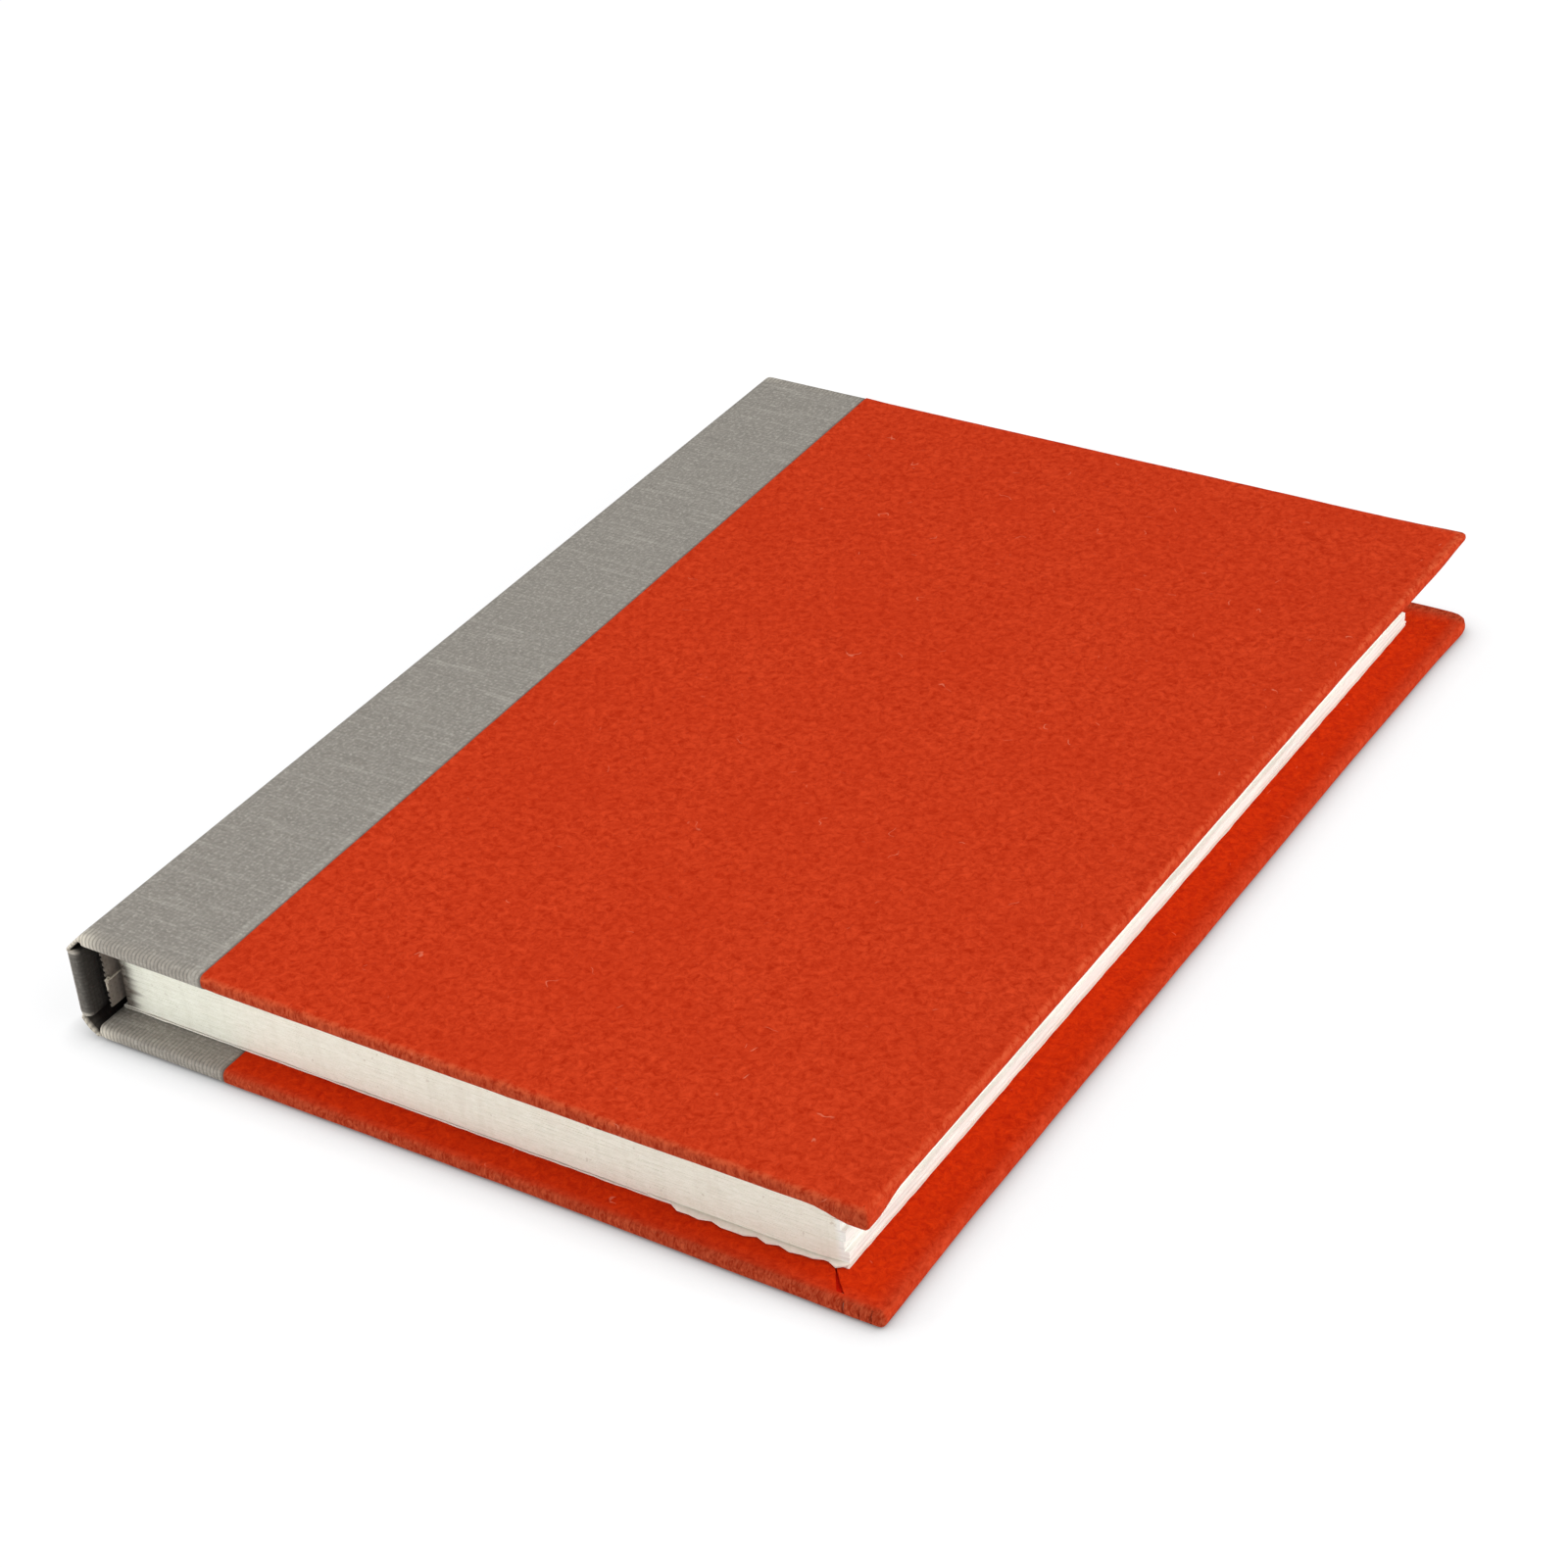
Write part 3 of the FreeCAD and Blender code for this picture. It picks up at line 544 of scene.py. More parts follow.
def shift(across=0.0, along=0.0, up=0.0, soft=None):
    """Moves what is selected by millimetres, and drags along what lies within soft millimetres."""
    bpy.ops.transform.translate(
        value=(across * MM, along * MM, up * MM),
        use_proportional_edit=soft is not None,
        proportional_edit_falloff="SMOOTH",
        proportional_size=(soft or 1.0) * MM,
    )


def slice_evenly(axis, low, high, step):
    """Cuts the whole mesh square to one axis, every step metres between two places."""
    count = round((high - low) / step)
    square = [0.0, 0.0, 0.0]
    square[axis] = 1.0
    for index in range(1, count):
        place = [0.0, 0.0, 0.0]
        place[axis] = low + (high - low) * index / count
        bpy.ops.mesh.select_all(action="SELECT")
        bpy.ops.mesh.bisect(plane_co=place, plane_no=square)


def select_alone(obj):
    """Selects one piece and no other, for the operators that act on all that is selected."""
    bpy.ops.object.select_all(action="DESELECT")
    obj.select_set(True)
    bpy.context.view_layer.objects.active = obj


def close_edit(obj):
    """Merges doubles, leaves edit mode and keeps the piece alone selected."""
    bpy.ops.mesh.select_all(action="SELECT")
    bpy.ops.mesh.remove_doubles(threshold=0.01 * MM)
    bpy.ops.object.mode_set(mode="OBJECT")
    select_alone(obj)


def turn_over(obj):
    """Makes the faces of a sheet point the other way."""
    bpy.ops.object.mode_set(mode="EDIT")
    bpy.ops.mesh.select_all(action="SELECT")
    bpy.ops.mesh.flip_normals()
    bpy.ops.object.mode_set(mode="OBJECT")


def modify(obj, kind, **settings):
    """Adds a modifier and applies it."""
    modifier = obj.modifiers.new(kind.lower(), kind)
    for name, setting in settings.items():
        setattr(modifier, name, setting)
    bpy.ops.object.modifier_apply(modifier=modifier.name)


def ripple(obj, size, depth):
    """Lets the surface sink by up to depth millimetres, in swells of the given size in millimetres."""
    swell = bpy.data.textures.new(f"{obj.name}_swell", "CLOUDS")
    swell.noise_scale = size * MM
    modify(
        obj,
        "DISPLACE",
        texture=swell,
        texture_coords="LOCAL",
        direction="NORMAL",
        strength=depth * MM,
        mid_level=1.0,
    )


def paint(obj, name, amount):
    """Stores a value from 0 to 1 at each vertex, which a material reads as an attribute."""
    layer = obj.data.attributes.new(name, "FLOAT", "POINT")
    layer.data.foreach_set("value", [amount(vertex.co) for vertex in obj.data.vertices])


def ease(value, start, end):
    """Rises smoothly from 0 at start to 1 at end."""
    share = min(max((value - start) / (end - start), 0.0), 1.0)
    return share * share * (3 - 2 * share)


def fade(value, start, end):
    """Falls smoothly from 1 at start to 0 at end."""
    return 1 - ease(value, start, end)


# ---------------------------------------------------------------- side papers


# What tells one cover from the other: its outward side, and at tail and head its seam with the cloth in
# millimetres from the spine's face, its fore edge, and the radius of its fore corner in millimetres.
Cover = namedtuple("Cover", "name outward seams fore_edges corners")
front_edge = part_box("front_cover_paper")[1].x
back_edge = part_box("back_cover_paper")[1].x
FRONT = Cover("front", 1, (22.1, 20.3), (front_edge, front_edge), (1.2, 1.2))
BACK = Cover("back", -1, (22.7, 21.5), (back_edge, back_edge - 0.7 * MM), (1.2, 4.0))


def fore_at(cover, along):
    """Where a cover's fore edge lies, at a place along the book."""
    tail, head = cover.fore_edges
    return tail + (head - tail) * (along / cad_high.y + 1) / 2


def from_corners(point, fore_edges):
    """How far a point lies from a cover's tail corner, and from its head corner."""
    tail, head = fore_edges
    from_tail = math.hypot(tail - point.x, cad_high.y + point.y)
    from_head = math.hypot(head - point.x, cad_high.y - point.y)
    return from_tail, from_head


def at_fore_corner(edge, side):
    """Whether an edge stands upright at the fore corner of the tail, where side is -1, or of the head."""
    return runs_along(edge, 2) and middle(edge).x > 0 and middle(edge).y * side > 0


def shape_back_corners(obj):
    """The back cover's head corner has had a knock, which rounded and spread it. Its tail corner
    spread a little."""
    mesh = bmesh.from_edit_mesh(obj.data)
    head = BACK.fore_edges[1]
    for vertex in mesh.verts:
        from_tail, from_head = from_corners(vertex.co, BACK.fore_edges)
        vertex.co.x += MM * (0.3 * fade(from_head, 0.0, 12 * MM) + 0.4 * fade(from_head, 0.0, 40 * MM))
        vertex.co.x += 0.35 * MM * fade(from_tail, 0.0, 20 * MM)
        spread = ease(vertex.co.y, cad_high.y - 30 * MM, cad_high.y)
        spread *= fade(head - vertex.co.x, 7 * MM, 45 * MM)
        vertex.co.y += 2.0 * MM * spread
        vertex.co.y -= 0.5 * MM * fade(from_tail, 0.0, 50 * MM)
    bmesh.update_edit_mesh(obj.data)


def shape_front_corners(obj):
    """The front cover's head corner was pulled out to a thin point, and under its tail corner the
    folded paper lies in a thick pad."""
    low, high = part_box("front_cover_paper")
    mesh = bmesh.from_edit_mesh(obj.data)
    for vertex in mesh.verts:
        from_tail, from_head = from_corners(vertex.co, FRONT.fore_edges)
        deep = (high.z - vertex.co.z) / (high.z - low.z)
        vertex.co.x += MM * (0.2 * fade(from_head, 0.0, 6 * MM) + 0.5 * fade(from_head, 0.0, 38 * MM))
        vertex.co.y += 0.3 * MM * fade(from_head, 0.0, 12 * MM)
        vertex.co.z += 0.8 * MM * deep * fade(from_head, 0.0, 8 * MM)
        vertex.co.z -= 1.15 * MM * deep * fade(from_tail, 2.4 * MM, 7.8 * MM)
    bmesh.update_edit_mesh(obj.data)


def make_board(cover):
    """The greyboard inside a cover, cut from thick board, with softened edges."""
    node = f"{cover.name}_board"
    low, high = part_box(node)
    fore_edges = [edge - PAPER * MM for edge in cover.fore_edges]
    obj = start_from(bpy.ops.mesh.primitive_cube_add, f"{cover.name}_greyboard", low, high)
    for side, fore_edge in zip((-1, 1), fore_edges):
        choose("VERT", lambda v: v.co.x > 0 and v.co.y * side > 0)
        shift(across=(fore_edge - high.x) / MM)
    for side, radius in zip((-1, 1), cover.corners):
        choose("EDGE", lambda e: at_fore_corner(e, side))
        bpy.ops.mesh.bevel(offset=(radius - PAPER) * MM, segments=6, profile=0.5, affect="EDGES")
    choose("EDGE", lambda e: abs(e.verts[0].co.z - e.verts[1].co.z) < TOUCH)
    bpy.ops.mesh.bevel(offset=0.5 * MM, segments=3, profile=0.5, affect="EDGES")
    slice_evenly(0, low.x, high.x, step=3 * MM)
    slice_evenly(1, low.y, high.y, step=3 * MM)
    if cover is FRONT:
        shape_front_corners(obj)
    else:
        shape_back_corners(obj)
    close_edit(obj)
    bpy.ops.object.shade_smooth_by_angle(angle=math.radians(40))
    dress(obj, greyboard)
    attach(obj, f"{cover.name}_cover")
    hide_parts(node)


def leans(vertex, measure):
    """The mean measure of the faces round a vertex, which tells on which side of a cut it belongs."""
    return sum(measure(middle(face)) for face in vertex.link_faces) / max(len(vertex.link_faces), 1)


def make_side_paper(cover):
    """The sheet over one cover: wrapped round three edges of the board, its corners mitred inside."""
    low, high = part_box(f"{cover.name}_cover_paper")
    end = high.y
    outward = cover.outward
    seams = [SPINE_FACE + seam * MM for seam in cover.seams]
    obj = start_from(
        bpy.ops.mesh.primitive_cube_add,
        f"{cover.name}_side_paper",
        (min(seams), -end, low.z),
        (max(cover.fore_edges), end, high.z),
    )

    # The hand-cut edges aren't quite square.
    for side, seam, fore_edge in zip((-1, 1), seams, cover.fore_edges):
        choose("VERT", lambda v: v.co.x < 0 and v.co.y * side > 0)
        shift(across=(seam - min(seams)) / MM)
        choose("VERT", lambda v: v.co.x > 0 and v.co.y * side > 0)
        shift(across=(fore_edge - max(cover.fore_edges)) / MM)
    choose("FACE", lambda f: f.normal.x < -0.9)
    bpy.ops.mesh.delete(type="FACE")
    choose("FACE", lambda f: f.normal.z * outward < -0.9)
    bpy.ops.mesh.inset(thickness=TURN_IN * MM, use_boundary=False)
    bpy.ops.mesh.delete(type="FACE")

    # Fore corners, then the round of the paper over the board's edges.
    for side, radius in zip((-1, 1), cover.corners):
        choose("EDGE", lambda e: at_fore_corner(e, side))
        bpy.ops.mesh.bevel(offset=radius * MM, segments=6, profile=0.65, affect="EDGES")

    def on_rim(edge):
        if len(edge.link_faces) != 2:
            return False
        flat, upright = sorted(edge.link_faces, key=lambda f: -abs(f.normal.z))
        return abs(flat.normal.z) > 0.9 and abs(upright.normal.z) < 0.1

    choose("EDGE", on_rim)
    bpy.ops.mesh.bevel(offset=PAPER_ROUND * MM, segments=4, profile=0.5, affect="EDGES")
    slice_evenly(0, low.x, high.x, step=1.4 * MM)
    slice_evenly(1, low.y, high.y, step=1.4 * MM)

    # The fore-edge flap is cut askew, at about 58 degrees. Its edge has crept back at the rim, more at the
    # tail than at the head, and shows a tongue of the other flap that is tucked under it.
    inner = low.z if outward > 0 else high.z
    for side, fore_edge in zip((-1, 1), cover.fore_edges):
        start = Vector((fore_edge - MITRE_START * MM, side * (end - PAPER_ROUND * MM), 0))
        finish = Vector((fore_edge - TURN_IN * MM, side * (end - (TURN_IN - 5) * MM), 0))
        square = Vector((1, -0.625 * side, 0)).normalized()

        def beyond(point):
            return (point - start).xy.dot(square.xy)

        def in_reach(point):
            near = finish.x - 0.7 * MM < point.x < start.x + 0.7 * MM
            return near and side * point.y < abs(start.y) + TOUCH

        def on_cut(edge):
            return all(abs(beyond(v.co)) < TOUCH and abs(v.co.z - inner) < TOUCH for v in edge.verts)

        def on_flap(face):
            at = middle(face)
            return face.normal.z * outward < -0.9 and abs(beyond(at)) < 2 * MM and in_reach(at)

        def crept(vertex):
            on_edge = vertex.is_boundary and abs(beyond(vertex.co)) < TOUCH
            return on_edge and in_reach(vertex.co) and leans(vertex, beyond) > 0

        choose("FACE", on_flap)
        bpy.ops.mesh.bisect(plane_co=start, plane_no=square, threshold=SNAP)
        choose("EDGE", lambda e: on_cut(e) and in_reach(middle(e)))
        bpy.ops.mesh.edge_split(type="EDGE")
        choose("VERT", crept)
        opening = (0.88 if side < 0 else 0.2) * MM
        mesh = bmesh.from_edit_mesh(obj.data)
        for vertex in mesh.verts:
            if vertex.select:
                along_cut = (start - vertex.co).xy.length
                vertex.co += square * max(opening - 0.19 * along_cut, 0)
                vertex.co.z -= 0.10 * MM * outward
        bmesh.update_edit_mesh(obj.data)
        choose("EDGE", lambda e: on_cut(e) and e.is_boundary and beyond(middle(e.link_faces[0])) < 0)
        down = (0, 0, 0.22 * MM * outward)
        bpy.ops.mesh.extrude_region_move(TRANSFORM_OT_translate={"value": down})
        bpy.ops.mesh.extrude_region_move(TRANSFORM_OT_translate={"value": square * 1.3 * MM})

    if cover is FRONT:
        # The seam's edge stands a little proud of the cloth.
        choose("VERT", lambda v: v.is_boundary and v.co.x < seams[0] + 0.1 * MM and v.co.z > high.z - MM)
        shift(up=0.12, soft=3.5)
        shape_front_corners(obj)
        # A small pleat where the paper was pulled over the tail edge.
        choose("VERT", lambda v: (v.co - Vector((0.009, -end, high.z))).length < 1.1 * MM)
        shift(along=-0.22, up=0.12, soft=1.8)
    else:
        # Fine gathers in the paper where it turns over the tail edge, beside the corner.
        for from_fore, depth in ((5.3, 0.3), (3.2, 0.22), (1.7, 0.27)):
            place = cover.fore_edges[0] - from_fore * MM
            for offset in (-0.22, 0, 0.22):
                choose("FACE", lambda f: middle(f).y < 0.9 * MM - end and abs(middle(f).x - place) < 2 * MM)
                bpy.ops.mesh.bisect(plane_co=(place + offset * MM, 0, 0), plane_no=(1, 0, 0), threshold=SNAP)
            choose(
                "VERT",
                lambda v: abs(v.co.x - place) < TOUCH and v.co.y < 0.5 * MM - end and v.co.z > 0.4 * MM,
            )
            shift(along=depth, up=-0.4 * depth)
        shape_back_corners(obj)
    close_edit(obj)

    def from_rim(point):
        """How far a point lies in from the end edge, and from the fore edge."""
        return end - abs(point.y), fore_at(cover, point.y) - point.x

    # The tongue under the flap, which the material paints a deeper, darker red as painted shade.
    def tucked(point):
        return float(min(from_rim(point)) > 0.9 * MM and 0.19 * MM < (point.z - inner) * outward < 0.3 * MM)

    # The turned-in side, which the material paints a fuller and slightly lighter red, partly as painted
    # light.
    def fresh(point):
        return ease(min(from_rim(point)), 0.7 * MM, 1.6 * MM) * float((point.z - inner) * outward < 0.8 * MM)

    # The narrow walls, which the material paints browner and darker, partly as painted shade.
    def wall(point):
        from_end, from_fore = from_rim(point)
        return max(fade(from_end, 0.1 * MM, 0.75 * MM), 0.3 * fade(from_fore, 0.1 * MM, 0.75 * MM))

    # The crests of the folds, which the material paints paler, partly as a painted highlight.
    def crest(point):
        from_end, from_fore = from_rim(point)
        depth = abs((high.z if outward > 0 else low.z) - point.z)
        near = min(from_end, 0.2 * MM + from_fore)
        return fade(near, 0.35 * MM, 0.95 * MM) * fade(depth, 0.3 * MM, 0.8 * MM)

    paint(obj, "tucked", tucked)
    paint(obj, "fresh", fresh)
    ripple(obj, 11.0, 0.10)
    ripple(obj, 2.6, 0.05)
    paint(obj, "wall", wall)
    paint(obj, "crest", crest)
    modify(obj, "SOLIDIFY", thickness=0.28 * MM, offset=-1.0, use_even_offset=True)
    bpy.ops.object.shade_smooth_by_angle(angle=math.radians(40))
    dress(obj, side_paper)
    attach(obj, f"{cover.name}_cover")
    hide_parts(f"{cover.name}_cover_paper")


for cover in (FRONT, BACK):
    make_board(cover)
    make_side_paper(cover)


# ---------------------------------------------------------------- sheets folded from the flat


def on_run(corners, share):
    """The point at a share of the way along a run of straight lines."""
    lengths = [(b - a).length for a, b in zip(corners, corners[1:])]
    left = share * sum(lengths)
    for start, finish, length in zip(corners, corners[1:], lengths):
        if left <= length:
            return start.lerp(finish, max(left, 0.0) / length)
        left -= length
    return corners[-1]


def on_soft_run(corners, share, reach):
    """The same, with each bend rounded over a reach that is a share of the run too, up to its ends."""
    reach = min(reach, share, 1 - share)
    near = [on_run(corners, share + reach * step / 4) for step in range(-4, 5)]
    return sum(near, Vector((0.0, 0.0))) / len(near)


def folded_sheet(name, columns, rows, place):
    """Cuts a flat sheet, marks its flat place as its UV map, and folds each of its points into place."""
    bpy.ops.object.select_all(action="DESELECT")
    bpy.ops.mesh.primitive_grid_add(
        x_subdivisions=len(columns) - 1, y_subdivisions=len(rows) - 1, size=1, calc_uvs=False
    )
    obj = bpy.context.object
    obj.name = obj.data.name = name
    cut = []
    for index, vertex in enumerate(obj.data.vertices):
        row, column = divmod(index, len(columns))
        cut.append((columns[column], rows[row]))
        vertex.co = place(*cut[-1])
    layer = obj.data.uv_layers.new(name="flat_cut")
    for loop in obj.data.loops:
        layer.data[loop.index].uv = cut[loop.vertex_index]
    obj.data.update()
    return obj, cut


def evenly(low, high, step):
    """Places from low to high, about one step apart."""
    count = max(round((high - low) / step), 1)
    return [low + (high - low) * index / count for index in range(count + 1)]


def bend_with(obj, cover):
    """Bakes a sheet's placement into its mesh; the same for either cover."""
    if cover is FRONT:
        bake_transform(obj)
    else:
        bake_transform(obj)


# ---------------------------------------------------------------- spine cloth

# The run of the cloth in a cross-section of the back half, in millimetres from the spine's face and
# from the floor: down the spine, across the joint and on to the board. The inner run is that of the
# turned-in cloth, pressed on to strip, joint and board.
half = MID_HEIGHT / MM
STRIP_EDGE = 3.25  # height at which the spine ends and the joint begins
BOARD_EDGE = 3.15  # from the spine's face to the end of the joint
CLOTH_EDGE = 24.5  # from the spine's face to the cut edge, under the side paper
OUTER_RUN = [
    Vector(at) for at in ((0.125, half), (0.125, STRIP_EDGE), (BOARD_EDGE, 0.225), (CLOTH_EDGE, 0.225))
]
INNER_RUNS = [
    [Vector(at) for at in ((1.875, half), (1.875, 3.17))],
    [Vector(at) for at in ((1.875, 3.17), (0.56, 3.17), (3.08, 0.66), (3.08, 1.975))],
    [Vector(at) for at in ((3.08, 1.975), (CLOTH_EDGE, 1.975))],
]
SPINE_RUN = half - STRIP_EDGE
JOINT_END = SPINE_RUN + (OUTER_RUN[2] - OUTER_RUN[1]).length
CLOTH_RUN = JOINT_END + (CLOTH_EDGE - BOARD_EDGE)
CLEAN_FROM = JOINT_END + 17.3  # where the strip begins that a straightedge covered
# Along the book, from its middle.
CLOTH_END = cloth_high.y / MM - CLOTH / 2
TURNED_TO = 65.5  # cut end of the turned-in cloth
FOLD_ROUND = 0.62  # radius of the bends at head and tail
FOLD_LENGTH = 2.4  # length of cloth in a fold
FLAT_END = CLOTH_END - FOLD_ROUND
FOLD_END = FLAT_END + FOLD_LENGTH


def outer_place(across):
    """Where the outer layer lies, at a place across the flat cloth."""
    return on_soft_run(OUTER_RUN, across / CLOTH_RUN, 0.55 / CLOTH_RUN)


def inner_place(across):
    """Where the turned-in layer lies, at the same place across the flat cloth."""
    knots = (0.0, SPINE_RUN, JOINT_END, CLOTH_RUN)
    for run, start, finish in zip(INNER_RUNS, knots, knots[1:]):
        if across <= finish:
            return on_soft_run(run, (across - start) / (finish - start), 0.06 if run is INNER_RUNS[1] else 0)
    return INNER_RUNS[-1][-1]


def cloth_place(across, along):
    """Where a point of the flat half cloth lies once it is turned in: distance from the spine's face,
    along the book, and up, in millimetres."""
    outer, inner = outer_place(across), inner_place(across)
    side = -1 if along < 0 else 1
    past = abs(along) - FLAT_END
    if past <= 0:
        return Vector((outer.x, along, outer.y))
    gap = (inner - outer).length
    bend = min(FOLD_ROUND, gap / 2)
    if past >= FOLD_LENGTH:
        back = CLOTH_END - bend - (past - FOLD_LENGTH)
        return Vector((inner.x, side * back, inner.y))
    # A quarter bend, a flat, and a quarter bend, in three equal parts of the fold.
    part = 3 * past / FOLD_LENGTH
    if part <= 1:
        across_gap = bend * (1 - math.cos(part * math.pi / 2))
        out = bend * math.sin(part * math.pi / 2)
    elif part <= 2:
        across_gap, out = bend + (gap - 2 * bend) * (part - 1), bend
    else:
        across_gap = gap - bend * (1 - math.sin((part - 2) * math.pi / 2))
        out = bend * math.cos((part - 2) * math.pi / 2)
    flat = outer.lerp(inner, across_gap / gap)
    # Where the layers lie close, the fold bulges out by most of what its bends lack in radius.
    slack = (FOLD_ROUND - bend) * ease(part, 0.0, 0.6) * 0.8
    reach = CLOTH_END - bend + out + slack - slack * ease(part, 2, 3)
    return Vector((flat.x, side * reach, flat.y))


def make_spine_cloth(cover):
    """Half of the book cloth, from the middle of the spine to its edge under the side paper. The half
    bends in its cover's joint, and the two meet along the middle of the spine."""
    columns = evenly(0.0, CLOTH_RUN, 0.19)
    ends = [FLAT_END + FOLD_LENGTH * part / 12 for part in range(13)]
    inside = evenly(FOLD_END, FOLD_END + CLOTH_END - TURNED_TO - FOLD_ROUND, 1.6)[1:]
    upper = evenly(0.0, FLAT_END, 1.6)[:-1] + ends + inside
    rows = [-place for place in reversed(upper[1:])] + upper
    outward = cover.outward

    def seam_at(along):
        tail, head = cover.seams
        return tail + (head - tail) * (along / CLOTH_END + 1) / 2

    def place(across, along):
        point = cloth_place(across, along)
        # Ribs of thread over the boards' ends, and a slight wander of the whole cloth.
        rib = 0.009 * math.cos(2 * math.pi * across / THREAD_PITCH)
        rib *= ease(abs(along), FLAT_END - 1.0, FLAT_END + 0.6) * fade(abs(along), FOLD_END, FOLD_END + 2)
        rib *= ease(across, JOINT_END, JOINT_END + 0.6)
        seam_place = seam_at(point.y)
        tucked = ease(point.x, seam_place + 0.1, seam_place + 0.5)
        wave = 0.035 * noise.noise((outward * across / 5, along / 7, 3.1))
        short = 0.4 * tucked * ease(abs(point.y), CLOTH_END - 1.5, CLOTH_END)
        point.y += (rib - short) * (1 if along > 0 else -1)
        up = point.z + abs(wave) * ease(across, JOINT_END, JOINT_END + 3)
        up += 0.22 * tucked * (1 if point.z < 1.1 else -1)
        over = point.x + abs(wave) * fade(across, SPINE_RUN - 2, SPINE_RUN)
        height = up if outward < 0 else cad_high.z / MM - up
        return Vector((SPINE_FACE + over * MM, point.y * MM, height * MM))

    def fold(across, along):
        end = abs(along)
        ribbed = ease(end, FLAT_END - 0.9, FLAT_END + 0.3) * fade(end, FLAT_END + 2.6, FLAT_END + 5)
        return ribbed * (0.2 + 0.8 * ease(across, SPINE_RUN - 1.0, SPINE_RUN + 0.5))

    def rub(across, along):
        end = abs(along)
        rubbed = ease(end, FLAT_END - 0.4, FLAT_END + 0.4) * fade(end, FLAT_END + 1.6, FLAT_END + 2.6)
        rubbed *= ease(across, SPINE_RUN - 0.8, SPINE_RUN + 0.6)
        return 0.9 * rubbed * fade(across, JOINT_END - 0.8, JOINT_END + 4.0)

    def clean(across, along):
        strip = 0.45 * ease(across, CLEAN_FROM - 0.12, CLEAN_FROM + 0.12)
        edge = 0.4 * fade(abs(across - CLEAN_FROM), 0.1, 0.4)
        return (strip + edge) * (1 - 0.75 * ease(along, -60, -25)) * (cover is FRONT)

    # A dark line beside the side paper's cut edge, as a painted shadow.
    def seam(across, along):
        return 0.8 * ease(cloth_place(across, along).x, seam_at(along) - 0.5, seam_at(along) - 0.15)

    # The cloth where it turns over the strip's end and where it lies inside the joint, at head and tail,
    # painted near black as painted shade of the hollow.
    def pasted(across, along):
        end = abs(along)
        on_strip = 0.55 * ease(end, FLAT_END + 0.3, FLAT_END + 0.9)
        on_strip += 0.35 * ease(end, FLAT_END + 1.3, FLAT_END + 2.6)
        on_strip *= fade(across, SPINE_RUN - 0.8, SPINE_RUN)
        in_joint = ease(end, FLAT_END + 1.8, FLAT_END + 2.6) * ease(across, SPINE_RUN - 0.8, SPINE_RUN)
        return on_strip + in_joint * fade(across, JOINT_END - 0.6, JOINT_END + 0.3)

    obj, cut = folded_sheet(f"spine_cloth_{cover.name}", columns, rows, place)
    for loop in obj.data.uv_layers[0].data:
        loop.uv = ((loop.uv[0] + THREAD_PITCH / 2) * MM, (loop.uv[1] + 200) * MM)
    # What the cloth's material reads, at each place on the flat cloth.
    for amount in (fold, rub, clean, seam, pasted):
        layer = obj.data.attributes.new(amount.__name__, "FLOAT", "POINT")
        layer.data.foreach_set("value", [amount(*at) for at in cut])
    if cover is FRONT:
        turn_over(obj)
    modify(obj, "SOLIDIFY", thickness=CLOTH * MM, offset=0.0)
    bpy.ops.object.shade_smooth_by_angle(angle=math.radians(50))
    dress(obj, book_cloth)

    bend_with(obj, cover)
    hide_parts("spine_cloth")


for cover in (FRONT, BACK):
    make_spine_cloth(cover)


# ---------------------------------------------------------------- endpapers


def deckle(over, from_middle, end):
    """How much the lowest leaf's deckle shows, from 0 to 1, at a place beside its tail edge."""
    return ease(over, 24, 27) * fade(over, 49.3, 50.6) * ease(from_middle, end - 1.1, end)


